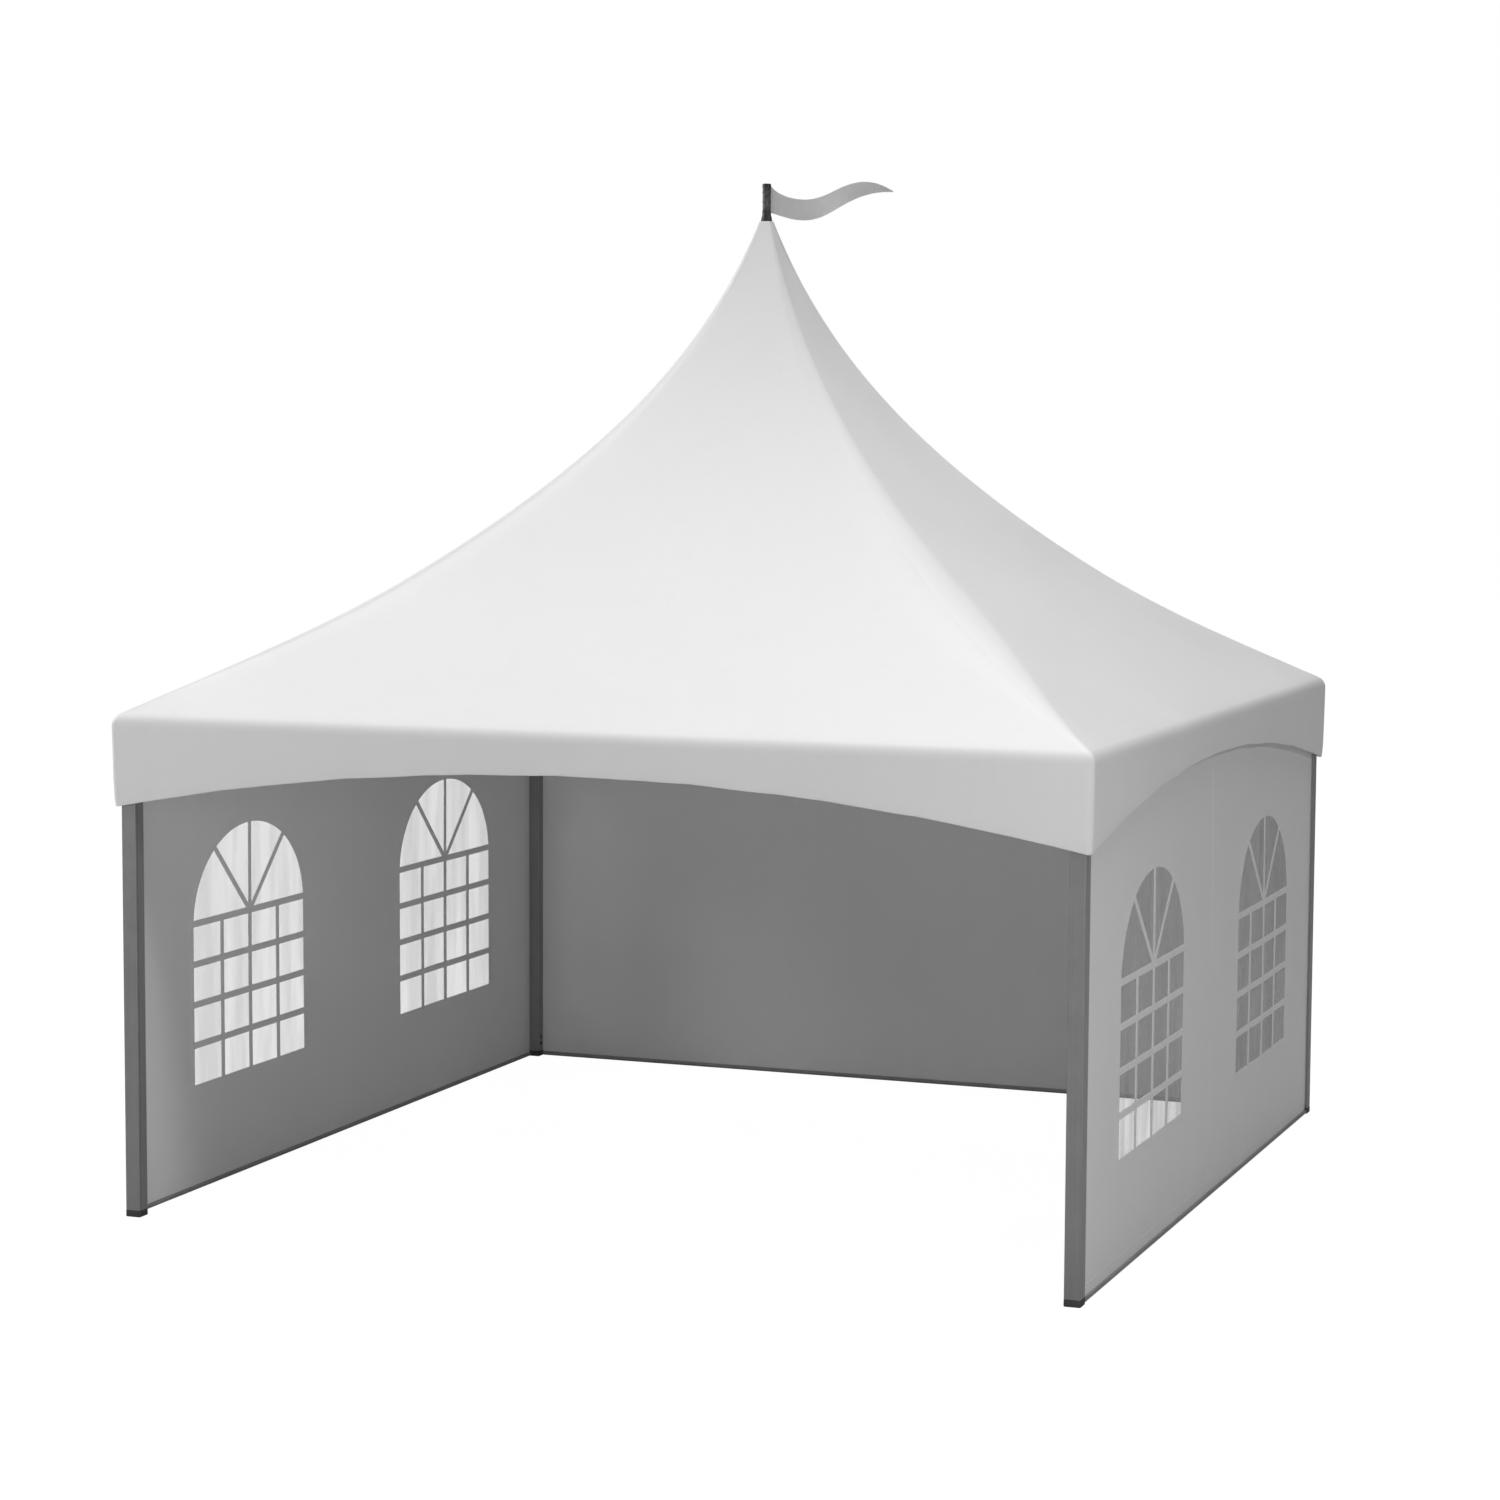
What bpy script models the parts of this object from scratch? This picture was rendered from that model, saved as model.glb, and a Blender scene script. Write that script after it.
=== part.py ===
"""High-peak marquee, 5 m by 5 m: an aluminium frame with a centre mast standing on crossed cables,
a tensioned roof cover with arched valances, three side walls with arched windows, and a
swivelling pennant. Metres, +Z up, the origin on the ground under the peak, the open side at -Y."""
import math

import bmesh
import bpy
from mathutils import Matrix, Vector

# Driving dimensions
PLAN = 5.00
POST = 0.080
EAVE_HEIGHT = 2.54
GAP = 0.0003

# Roof cover
EAVE_REACH = PLAN / 2 + 0.020
TIP_HALF = 0.024
COVER_DROP = 0.008
VALANCE_SHEET = 0.004
VALANCE_CORNER_Z = 2.095
VALANCE_RISE = 0.245

# Frame profiles
BEAM_WIDTH = 0.050
BEAM_HEIGHT = 0.080
PROFILE_WALL = 0.004
CHANNEL_INSET = 0.014
CHANNEL_DEPTH = 0.008
CHANNEL_RADIUS = 0.0047
CHANNEL_SLOT = 0.005
FOOT_SIDE = 0.082
FOOT_HEIGHT = 0.034
SPIGOT_LENGTH = 0.120

# Side walls
WALL_SHEET = 0.004
WALL_BEAD = 0.004
BAR_RADIUS = 0.0125
BAR_CENTRE_Z = BAR_RADIUS + GAP
WINDOW_OFFSET = 1.205
WINDOW_HALF = 0.612
WINDOW_SILL = 0.548
WINDOW_SPRING = 1.390
WINDOW_CROWN = 1.882
PANE_THICKNESS = 0.0015
PANE_MARGIN = 0.020

# Mast and cross cables
MAST_RADIUS = 0.030
MAST_WALL = 0.003
HUB_PIN_REACH = 0.085
HUB_PIN_Z = 2.360
LUG_THICKNESS = 0.010
LUG_HOLE = 0.0060
PIN_RADIUS = 0.0057
CABLE_RADIUS = 0.004

# Swivelling pennant
SLEEVE_RADIUS = 0.020
STAFF_PIN_RADIUS = 0.012
SLEEVE_TOP = 5.287
PENNANT_LENGTH = 0.655
PENNANT_HALF_HOIST = 0.053
PENNANT_Z = 5.191
PENNANT_SHEET = 0.003

CORNERS = ("back_right", "back_left", "front_left", "front_right")
SIDES = ("front", "right", "back", "left")
QUARTER = math.pi / 2

COLOURS = {
    "aluminium": ((0.46, 0.47, 0.48), 0.45, 1.0),
    "galvanised_steel": ((0.38, 0.39, 0.40), 0.50, 1.0),
    "white_pvc": ((0.86, 0.86, 0.86), 0.45, 0.0),
    "clear_film": ((0.80, 0.82, 0.83), 0.15, 0.0),
    "dark_steel": ((0.09, 0.09, 0.09), 0.45, 0.6),
    "pennant_cloth": ((0.47, 0.47, 0.47), 0.80, 0.0),
}


# Scene and node helpers
def empty_scene():
    for item in list(bpy.data.objects):
        bpy.data.objects.remove(item)
    collection = bpy.data.collections.new("high_peak_marquee")
    bpy.context.scene.collection.children.link(collection)
    return collection


def make_materials():
    made = {}
    for name, (colour, roughness, metallic) in COLOURS.items():
        material = bpy.data.materials.new(name)
        material.use_nodes = True
        shader = material.node_tree.nodes["Principled BSDF"]
        shader.inputs["Base Color"].default_value = (*colour, 1.0)
        shader.inputs["Roughness"].default_value = roughness
        shader.inputs["Metallic"].default_value = metallic
        made[name] = material
    return made


def add_node(name, mesh, material, turn=0.0):
    """One named piece: its mesh turned about the vertical axis through the origin."""
    node = bpy.data.objects.new(name, mesh)
    node.rotation_euler.z = turn
    if not mesh.materials:
        mesh.materials.append(materials[material])
    parts.objects.link(node)
    return node


def temporary(data):
    helper = bpy.data.objects.new("helper", data)
    parts.objects.link(helper)
    return helper


def evaluated_mesh(helper, name):
    """The mesh of a helper object with its modifiers applied, in world space; the helper goes."""
    bpy.context.view_layer.update()
    graph = bpy.context.evaluated_depsgraph_get()
    mesh = bpy.data.meshes.new_from_object(helper.evaluated_get(graph))
    mesh.transform(helper.matrix_world)
    mesh.name = name
    bpy.data.objects.remove(helper)
    return mesh


def welded(mesh):
    work = bmesh.new()
    work.from_mesh(mesh)
    bmesh.ops.remove_doubles(work, verts=work.verts, dist=1e-6)
    bmesh.ops.recalc_face_normals(work, faces=work.faces)
    work.to_mesh(mesh)
    work.free()
    return mesh


def combined(base, joined=(), cut=()):
    """The base mesh with the joined meshes added to it and then the cut meshes taken away."""
    helper = temporary(base)
    tools = []
    for operation, meshes in (("UNION", joined), ("DIFFERENCE", cut)):
        for tool_mesh in meshes:
            tool = temporary(tool_mesh)
            modifier = helper.modifiers.new(operation.lower(), "BOOLEAN")
            modifier.operation = operation
            modifier.object = tool
            tools.append(tool)
    mesh = evaluated_mesh(helper, base.name)
    for tool in tools:
        bpy.data.objects.remove(tool)
    return mesh


# Shape helpers
def box(low, high):
    size = [b - a for a, b in zip(low, high)]
    centre = [(a + b) / 2 for a, b in zip(low, high)]
    work = bmesh.new()
    bmesh.ops.create_cube(work, size=1.0)
    bmesh.ops.scale(work, vec=size, verts=work.verts)
    bmesh.ops.translate(work, vec=centre, verts=work.verts)
    mesh = bpy.data.meshes.new("box")
    work.to_mesh(mesh)
    work.free()
    return mesh


def rod(start, end, radius, sides=16):
    """A round bar between two points."""
    start, end = Vector(start), Vector(end)
    along = end - start
    place = Matrix.Translation((start + end) / 2) @ along.to_track_quat("Z", "Y").to_matrix().to_4x4()
    work = bmesh.new()
    bmesh.ops.create_cone(
        work, cap_ends=True, segments=sides, radius1=radius, radius2=radius, depth=along.length, matrix=place
    )
    mesh = bpy.data.meshes.new("rod")
    work.to_mesh(mesh)
    work.free()
    return mesh


def turned(name, profile, steps=24, ring=False):
    """A profile of (radius, height) turned about the Z axis. It runs down the outer side."""
    mesh = bpy.data.meshes.new(name)
    count = len(profile)
    edges = [(i, i + 1) for i in range(count - 1)]
    if ring:
        edges.append((count - 1, 0))
    mesh.from_pydata([(radius, 0.0, height) for radius, height in profile], edges, [])
    helper = temporary(mesh)
    screw = helper.modifiers.new("turn", "SCREW")
    screw.steps = steps
    screw.render_steps = steps
    screw.use_merge_vertices = True
    screw.merge_threshold = 0.00001
    return welded(evaluated_mesh(helper, name))


def extruded(name, outlines, length):
    """A flat outline, with any holes, extruded along Z from 0 to length."""
    curve = bpy.data.curves.new(name, "CURVE")
    curve.dimensions = "2D"
    curve.fill_mode = "BOTH"
    curve.extrude = length / 2
    for outline in outlines:
        spline = curve.splines.new("POLY")
        spline.points.add(len(outline) - 1)
        for point, (x, y) in zip(spline.points, outline):
            point.co = (x, y, 0.0, 1.0)
        spline.use_cyclic_u = True
    helper = temporary(curve)
    helper.location.z = length / 2
    return welded(evaluated_mesh(helper, name))


def arc(centre, radius, start, end, steps):
    """Points on a circle from one angle in degrees to another."""
    angles = [math.radians(start + (end - start) * i / steps) for i in range(steps + 1)]
    return [(centre[0] + radius * math.cos(a), centre[1] + radius * math.sin(a)) for a in angles]


def rectangle(low, high):
    return [(low[0], low[1]), (high[0], low[1]), (high[0], high[1]), (low[0], high[1])]


# Roof form
def roof_height(half):
    """Height of the roof cover where a square section of it has this half-side."""
    spread, softness, fall = 0.772, 0.2475, 0.310
    log_rise = spread * math.log((EAVE_REACH + softness) / (half + softness))
    return EAVE_HEIGHT + log_rise + fall * (EAVE_REACH - half)


def hip_radius(half):
    """Rounding of the square section at its hips: soft high up, tight at the eaves."""
    t = min(max((half - 1.5) / (EAVE_REACH - 1.5), 0.0), 1.0)
    blend = t * t * (3 - 2 * t)
    return 0.2 * half * (1 - blend) + 0.030 * blend


def section_point(half, share):
    """A point of the front quarter of a rounded square section. Share runs from -1 to 1 and
    spends a third of its way on the straight middle, the rest on the two hips."""
    radius = hip_radius(half)
    flat = half - radius
    side = math.copysign(1.0, share)
    if abs(share) <= 1 / 3:
        return 3 * share * flat, -half
    angle = math.pi / 4 * (3 * abs(share) - 1) / 2
    return side * (flat + radius * math.sin(angle)), -(flat + radius * math.cos(angle))


def roof_rows():
    """Half-sides of the sections from the tip to the eaves, closer together near the tip."""
    count = 26
    span = EAVE_REACH - TIP_HALF
    return [TIP_HALF + span * (i / (count - 1)) ** 1.6 for i in range(count)]


def shaped_grid(name, columns, rows, place):
    """A grid whose points are set by place(share across from -1 to 1, row number)."""
    work = bmesh.new()
    bmesh.ops.create_grid(work, x_segments=columns, y_segments=rows - 1, size=1.0)
    for vertex in work.verts:
        row = round((vertex.co.y + 1) / 2 * (rows - 1))
        vertex.co = place(vertex.co.x, row)
    mesh = bpy.data.meshes.new(name)
    work.to_mesh(mesh)
    work.free()
    return mesh


def thickened(mesh, offset):
    """A sheet made solid by extruding all of it along one direction."""
    work = bmesh.new()
    work.from_mesh(mesh)
    made = bmesh.ops.extrude_face_region(work, geom=list(work.faces))
    moved = [item for item in made["geom"] if isinstance(item, bmesh.types.BMVert)]
    bmesh.ops.translate(work, vec=offset, verts=moved)
    bmesh.ops.recalc_face_normals(work, faces=work.faces)
    work.to_mesh(mesh)
    work.free()
    return mesh


def make_roof_gore():
    """The front gore: a sheet between two hips, with its thickness hanging straight down."""
    rows = roof_rows()

    def place(share, row):
        half = rows[row]
        x, y = section_point(half, share)
        edge = section_point(half, 1.0)[0]
        return x * (1 - GAP / edge), y, roof_height(half)

    sheet = shaped_grid("roof_gore", 12, len(rows), place)
    return thickened(sheet, (0.0, 0.0, -COVER_DROP))


def valance_bottom(x):
    """Height of the arched hem, highest in the middle of a side."""
    return VALANCE_CORNER_Z + VALANCE_RISE * (1 - min(abs(x) / EAVE_REACH, 1.0) ** 2)


def make_valance():
    """The front valance: a band under the edge of the roof cover, with an arched hem."""
    top = EAVE_HEIGHT - COVER_DROP - GAP

    def place(share, row):
        x, y = section_point(EAVE_REACH - GAP, share)
        x *= 1 - GAP / EAVE_REACH
        return x, y, (valance_bottom(x), top)[row]

    helper = temporary(shaped_grid("valance", 40, 2, place))
    solidify = helper.modifiers.new("cloth", "SOLIDIFY")
    solidify.thickness = VALANCE_SHEET
    solidify.offset = -1.0
    return welded(evaluated_mesh(helper, "valance"))


# Frame heights that follow from the roof cover lying on the beams
FRAME_TOP = roof_height(PLAN / 2) - COVER_DROP - GAP
BEAM_BOTTOM = FRAME_TOP - BEAM_HEIGHT
POST_INNER = PLAN / 2 - POST
FOOT_INNER = PLAN / 2 - POST / 2 - FOOT_SIDE / 2
WALL_PLANE = PLAN / 2 - CHANNEL_INSET

# The post's hollow, measured from the post's centre line, clear of both channels
HOLLOW_LOW = -0.024
HOLLOW_HIGH = POST / 2 - PROFILE_WALL
HOLLOW_MIDDLE = (HOLLOW_LOW + HOLLOW_HIGH) / 2
SPIGOT_HALF = (HOLLOW_HIGH - HOLLOW_LOW) / 2 - GAP
# The beam's hollow: distances in from the outer face, and heights over the beam's underside
BEAM_HOLLOW_OUT = PROFILE_WALL
BEAM_HOLLOW_IN = BEAM_WIDTH - PROFILE_WALL
BEAM_HOLLOW_LOW = 0.020
BEAM_HOLLOW_HIGH = BEAM_HEIGHT - PROFILE_WALL


# Extruded profiles
def channel_mouth(centre, angle, depth=CHANNEL_DEPTH):
    """Outline points of a keder channel: in by a slot, round its bore, and out again."""
    half_slot = CHANNEL_SLOT / 2
    opening = math.degrees(math.asin(half_slot / CHANNEL_RADIUS))
    bore = arc((0.0, 0.0), CHANNEL_RADIUS, 180 + opening, 540 - opening, 10)
    points = [(-depth, -half_slot), *bore, (-depth, half_slot)]
    turn = math.radians(angle)
    return [
        (
            centre[0] + x * math.cos(turn) - y * math.sin(turn),
            centre[1] + x * math.sin(turn) + y * math.cos(turn),
        )
        for x, y in points
    ]


def make_post():
    """The back right post: a hollow square profile with a channel on each inner face."""
    half = POST / 2
    edge = 0.004
    offset = half - CHANNEL_INSET
    low_channel = channel_mouth((offset, -half + CHANNEL_DEPTH), 90)
    left_channel = channel_mouth((-half + CHANNEL_DEPTH, offset), 0)
    outline = [
        *arc((-half + edge, -half + edge), edge, 180, 270, 2),
        *reversed(low_channel),
        *arc((half - edge, -half + edge), edge, 270, 360, 2),
        *arc((half - edge, half - edge), edge, 0, 90, 2),
        *arc((-half + edge, half - edge), edge, 90, 180, 2),
        *reversed(left_channel),
    ]
    hollow = rectangle((HOLLOW_LOW, HOLLOW_LOW), (HOLLOW_HIGH, HOLLOW_HIGH))
    height = BEAM_BOTTOM - FOOT_HEIGHT - 2 * GAP
    mesh = extruded("post", [outline, hollow], height)
    centre = PLAN / 2 - half
    mesh.transform(Matrix.Translation((centre, centre, FOOT_HEIGHT + GAP)))
    return mesh


def make_beam():
    """The front eave beam: a hollow box profile with a channel on its underside."""
    channel = channel_mouth((CHANNEL_INSET, CHANNEL_DEPTH), 90)
    outline = [
        (0.0, 0.0),
        *reversed(channel),
        (BEAM_WIDTH, 0.0),
        (BEAM_WIDTH, BEAM_HEIGHT),
        (0.0, BEAM_HEIGHT),
    ]
    hollow = rectangle((BEAM_HOLLOW_OUT, BEAM_HOLLOW_LOW), (BEAM_HOLLOW_IN, BEAM_HOLLOW_HIGH))
    length = 2 * (POST_INNER - GAP)
    mesh = extruded("eave_beam", [outline, hollow], length)
    # The outline's X becomes the depth in from the outer face, its Y the height
    along_x = Matrix(((0, 0, 1, 0), (1, 0, 0, 0), (0, 1, 0, 0), (0, 0, 0, 1)))
    place = Matrix.Translation((-length / 2, -PLAN / 2, BEAM_BOTTOM))
    mesh.transform(place @ along_x)
    return mesh


def make_post_foot():
    """The back right foot: a block under the post and a spigot up inside it."""
    centre = PLAN / 2 - POST / 2
    half = FOOT_SIDE / 2
    block = box((centre - half, centre - half, 0.0), (centre + half, centre + half, FOOT_HEIGHT))
    middle = centre + HOLLOW_MIDDLE
    spigot = box(
        (middle - SPIGOT_HALF, middle - SPIGOT_HALF, FOOT_HEIGHT / 2),
        (middle + SPIGOT_HALF, middle + SPIGOT_HALF, FOOT_HEIGHT + SPIGOT_LENGTH),
    )
    block.name = "post_foot"
    return combined(block, joined=[spigot])


def lug(reach_in, reach_out, pin_reach, centre_z, height):
    """A drilled plate that stands along the local X axis; returns the plate and its hole."""
    half = LUG_THICKNESS / 2
    plate = box((reach_in, -half, centre_z - height / 2), (reach_out, half, centre_z + height / 2))
    hole = rod((pin_reach, -half * 3, centre_z), (pin_reach, half * 3, centre_z), LUG_HOLE)
    return plate, hole


CORNER_PIN_REACH = POST_INNER * math.sqrt(2) - 0.040
CORNER_PIN_Z = BEAM_BOTTOM + 0.033


def make_corner_bracket():
    """The back right corner casting: a block on the post, three spigots and a cable lug."""
    outer = PLAN / 2
    edge = hip_radius(EAVE_REACH) + 0.006
    outline = [
        (POST_INNER, POST_INNER),
        (outer, POST_INNER),
        *arc((outer - edge, outer - edge), edge, 0, 90, 6),
        (POST_INNER, outer),
    ]
    block = extruded("corner_bracket", [outline], BEAM_HEIGHT)
    block.transform(Matrix.Translation((0.0, 0.0, BEAM_BOTTOM)))
    middle = outer - POST / 2 + HOLLOW_MIDDLE
    post_spigot = box(
        (middle - SPIGOT_HALF, middle - SPIGOT_HALF, BEAM_BOTTOM - SPIGOT_LENGTH),
        (middle + SPIGOT_HALF, middle + SPIGOT_HALF, BEAM_BOTTOM + POST / 4),
    )
    near, far = outer - BEAM_HOLLOW_IN + GAP, outer - BEAM_HOLLOW_OUT - GAP
    low, high = BEAM_BOTTOM + BEAM_HOLLOW_LOW + GAP, BEAM_BOTTOM + BEAM_HOLLOW_HIGH - GAP
    start, end = POST_INNER - SPIGOT_LENGTH, POST_INNER + POST / 4
    back_spigot = box((start, near, low), (end, far, high))
    side_spigot = box((near, start, low), (far, end, high))
    corner_reach = POST_INNER * math.sqrt(2)
    plate, hole = lug(CORNER_PIN_REACH - 0.020, corner_reach + 0.020, CORNER_PIN_REACH, CORNER_PIN_Z, 0.050)
    diagonal = Matrix.Rotation(math.pi / 4, 4, "Z")
    plate.transform(diagonal)
    hole.transform(diagonal)
    return combined(block, joined=[post_spigot, back_spigot, side_spigot, plate], cut=[hole])


# Mast, cables and the pennant's staff
MAST_BOTTOM = 2.345
MAST_TOP = 4.900
HEAD_REACH = 0.070


def make_mast():
    inner = MAST_RADIUS - MAST_WALL
    bottom, top = MAST_BOTTOM + GAP, MAST_TOP
    return turned("mast", [(MAST_RADIUS, top), (MAST_RADIUS, bottom), (inner, bottom), (inner, top)], ring=True)


def make_mast_foot():
    """A cup that holds the mast, with four lugs for the cross cables."""
    bore, outer = MAST_RADIUS + GAP, MAST_RADIUS + 0.012
    rim, base = MAST_BOTTOM + 0.105, MAST_BOTTOM - 0.045
    profile = [(0.0, MAST_BOTTOM), (bore, MAST_BOTTOM), (bore, rim), (outer, rim)]
    profile += [(outer, base + 0.012), (outer - 0.012, base), (0.0, base)]
    cup = turned("mast_foot", profile)
    plates, holes = [], []
    for number in range(4):
        plate, hole = lug(bore + 0.006, HUB_PIN_REACH + 0.018, HUB_PIN_REACH, HUB_PIN_Z, 0.046)
        turn = Matrix.Rotation(math.pi / 4 + number * QUARTER, 4, "Z")
        plate.transform(turn)
        hole.transform(turn)
        plates.append(plate)
        holes.append(hole)
    return combined(cup, joined=plates, cut=holes)


def make_mast_head():
    """A turned head: a plug in the mast, a cone that carries the cover, and the staff's pin."""
    clearance = 0.0012
    cone = [
        (half, roof_height(half) - COVER_DROP - clearance)
        for half in roof_rows()
        if half <= HEAD_REACH
    ]
    plug = MAST_RADIUS - MAST_WALL - GAP
    pin_top = SLEEVE_TOP - 0.008 - GAP
    profile = [(0.0, pin_top), (STAFF_PIN_RADIUS, pin_top), (STAFF_PIN_RADIUS, cone[0][1])]
    profile += cone
    flange_low = cone[-1][1] - 0.010
    profile += [(cone[-1][0], flange_low), (MAST_RADIUS, MAST_TOP + GAP), (plug, MAST_TOP + GAP)]
    profile += [(plug, MAST_TOP - 0.080), (0.0, MAST_TOP - 0.080)]
    return turned("mast_head", profile)


def make_cross_cable():
    """One cable from the mast foot to the back right corner, with a fork at each end
    and a turnbuckle near the corner. It is made along X and then laid in its place."""
    rise = CORNER_PIN_Z - HUB_PIN_Z
    run = CORNER_PIN_REACH - HUB_PIN_REACH
    length = math.hypot(rise, run)
    fork_end, rod_radius = 0.045, 0.007
    stations = [
        (fork_end, 0.009),
        (0.120, 0.009),
        (0.120, CABLE_RADIUS),
        (length - 0.520, CABLE_RADIUS),
        (length - 0.520, 0.009),
        (length - 0.450, 0.009),
        (length - 0.450, 0.014),
        (length - 0.230, 0.014),
        (length - 0.230, rod_radius),
        (length - fork_end, rod_radius),
    ]
    profile = [(0.0, stations[-1][0])]
    profile += [(radius, x) for x, radius in reversed(stations)]
    profile += [(0.0, stations[0][0])]
    cable = turned("cross_cable", profile, steps=12)
    cable.transform(Matrix.Rotation(QUARTER, 4, "Y"))
    cheek, slot = LUG_THICKNESS / 2 + 0.008, LUG_THICKNESS / 2 + GAP
    joined, cut, pins = [], [], []
    for pin_x, inward in ((0.0, 1.0), (length, -1.0)):
        ends = sorted((pin_x - inward * 0.016, pin_x + inward * (fork_end + 0.010)))
        mouth = sorted((pin_x - inward * 0.030, pin_x + inward * 0.030))
        joined.append(box((ends[0], -cheek, -0.014), (ends[1], cheek, 0.014)))
        cut.append(box((mouth[0], -slot, -0.030), (mouth[1], slot, 0.030)))
        pins.append(rod((pin_x, -cheek - 0.004, 0.0), (pin_x, cheek + 0.004, 0.0), PIN_RADIUS))
    cable = combined(cable, joined=joined, cut=cut)
    cable = combined(cable, joined=pins)
    slope = Matrix.Rotation(-math.atan2(rise, run), 4, "Y")
    place = Matrix.Translation((HUB_PIN_REACH, 0.0, HUB_PIN_Z)) @ slope
    cable.transform(Matrix.Rotation(math.pi / 4, 4, "Z") @ place)
    return cable


SLEEVE_BOTTOM = roof_height(TIP_HALF) + 0.006


def make_flag_sleeve():
    """A tube closed at the top, which turns on the pin of the mast head."""
    bore = STAFF_PIN_RADIUS + 2 * GAP
    inside_top = SLEEVE_TOP - 0.008
    profile = [(0.0, SLEEVE_TOP), (SLEEVE_RADIUS - 0.002, SLEEVE_TOP), (SLEEVE_RADIUS, SLEEVE_TOP - 0.002)]
    profile += [(SLEEVE_RADIUS, SLEEVE_BOTTOM), (bore, SLEEVE_BOTTOM), (bore, inside_top), (0.0, inside_top)]
    return turned("flag_sleeve", profile)


def pennant_point(along, across):
    """A point of the streaming pennant: along runs 0 to 1 from the sleeve, across -1 to 1."""
    x = SLEEVE_RADIUS + GAP + PENNANT_LENGTH * along
    middle = PENNANT_Z + 0.020 * along - 0.051 * math.sin(2 * math.pi * 0.87 * along)
    half = 0.002 + PENNANT_HALF_HOIST * (1 - along ** 4.3)
    sway = 0.040 * math.sin(2 * math.pi * 1.1 * along) * along ** 0.6
    return x, sway, middle + half * across


def make_pennant():
    rows = 33

    def place(share, row):
        return pennant_point(row / (rows - 1), share)

    sheet = shaped_grid("pennant", 4, rows, place)
    sheet.transform(Matrix.Translation((0.0, -PENNANT_SHEET / 2, 0.0)))
    return thickened(sheet, (0.0, PENNANT_SHEET, 0.0))


# Side walls
def arch_outline(margin):
    """A window outline about its centre line: straight sides under half an ellipse."""
    half = WINDOW_HALF + margin
    rise = WINDOW_CROWN - WINDOW_SPRING + margin
    steps = 20
    crown = []
    for i in range(steps + 1):
        angle = math.pi * i / steps
        crown.append((half * math.cos(angle), WINDOW_SPRING + rise * math.sin(angle)))
    return [(-half, WINDOW_SILL - margin), (half, WINDOW_SILL - margin), *crown]


def standing_window(name, margin, inner, outer, offset):
    """An arched solid between two depths outside the front side, upright in the wall's plane."""
    mesh = extruded(name, [arch_outline(margin)], outer - inner)
    # The outline's X stays X, its Y becomes Z, and the extrusion runs out along -Y
    upright = Matrix(((1, 0, 0, offset), (0, 0, -1, -inner), (0, 1, 0, 0), (0, 0, 0, 1)))
    mesh.transform(upright)
    return mesh


def make_wall(windows):
    """A side wall in the front position: a sheet with beaded edges and its window openings. Between
    the feet it reaches down to the bottom bar."""
    half_sheet = WALL_SHEET / 2
    bead_reach = POST_INNER + CHANNEL_DEPTH
    bead_z = BEAM_BOTTOM + CHANNEL_DEPTH
    bottom = FOOT_HEIGHT + 2 * GAP
    near, far = -WALL_PLANE - half_sheet, -WALL_PLANE + half_sheet
    sheet = box((-bead_reach, near, bottom), (bead_reach, far, BEAM_BOTTOM - 0.020))
    sheet.name = "wall"
    hem_bottom = BAR_CENTRE_Z + BAR_RADIUS + GAP
    hem = box((-FOOT_INNER + GAP, near, hem_bottom), (FOOT_INNER - GAP, far, bottom + 0.010))
    tongue = box((-POST_INNER + 0.020, near, 1.2), (POST_INNER - 0.020, far, bead_z))
    beads = [
        rod((side * bead_reach, -WALL_PLANE, bottom + 0.03), (side * bead_reach, -WALL_PLANE, 2.40), WALL_BEAD, 8)
        for side in (-1, 1)
    ]
    top_reach = POST_INNER - 0.040
    beads.append(rod((-top_reach, -WALL_PLANE, bead_z), (top_reach, -WALL_PLANE, bead_z), WALL_BEAD, 8))
    cutters = [
        standing_window("opening", 0.0, WALL_PLANE - 0.02, WALL_PLANE + 0.02, side * WINDOW_OFFSET)
        for side in ((-1, 1) if windows else ())
    ]
    return combined(sheet, joined=[hem, tongue, *beads], cut=cutters)


def make_pane(side):
    """A clear film pane that overlaps its opening on the inner face of the wall."""
    outer = WALL_PLANE - WALL_SHEET / 2 - GAP
    return standing_window("pane", PANE_MARGIN, outer - PANE_THICKNESS, outer, side * WINDOW_OFFSET)


def make_bottom_bar():
    reach = FOOT_INNER - GAP
    return rod((-reach, -WALL_PLANE, BAR_CENTRE_Z), (reach, -WALL_PLANE, BAR_CENTRE_Z), BAR_RADIUS)


# Assembly
def build_frame():
    shared = [
        ("post_foot", make_post_foot(), "dark_steel"),
        ("post", make_post(), "aluminium"),
        ("corner_bracket", make_corner_bracket(), "galvanised_steel"),
        ("cross_cable", make_cross_cable(), "galvanised_steel"),
    ]
    for name, mesh, material in shared:
        for number, corner in enumerate(CORNERS):
            add_node(f"{name}_{corner}", mesh, material, number * QUARTER)
    beam = make_beam()
    for number, side in enumerate(SIDES):
        add_node(f"eave_beam_{side}", beam, "aluminium", number * QUARTER)
    add_node("mast", make_mast(), "aluminium")
    add_node("mast_foot", make_mast_foot(), "galvanised_steel")
    add_node("mast_head", make_mast_head(), "galvanised_steel")


def build_cover():
    gore, valance = make_roof_gore(), make_valance()
    for number, side in enumerate(SIDES):
        add_node(f"roof_gore_{side}", gore, "white_pvc", number * QUARTER)
        add_node(f"valance_{side}", valance, "white_pvc", number * QUARTER)


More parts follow.
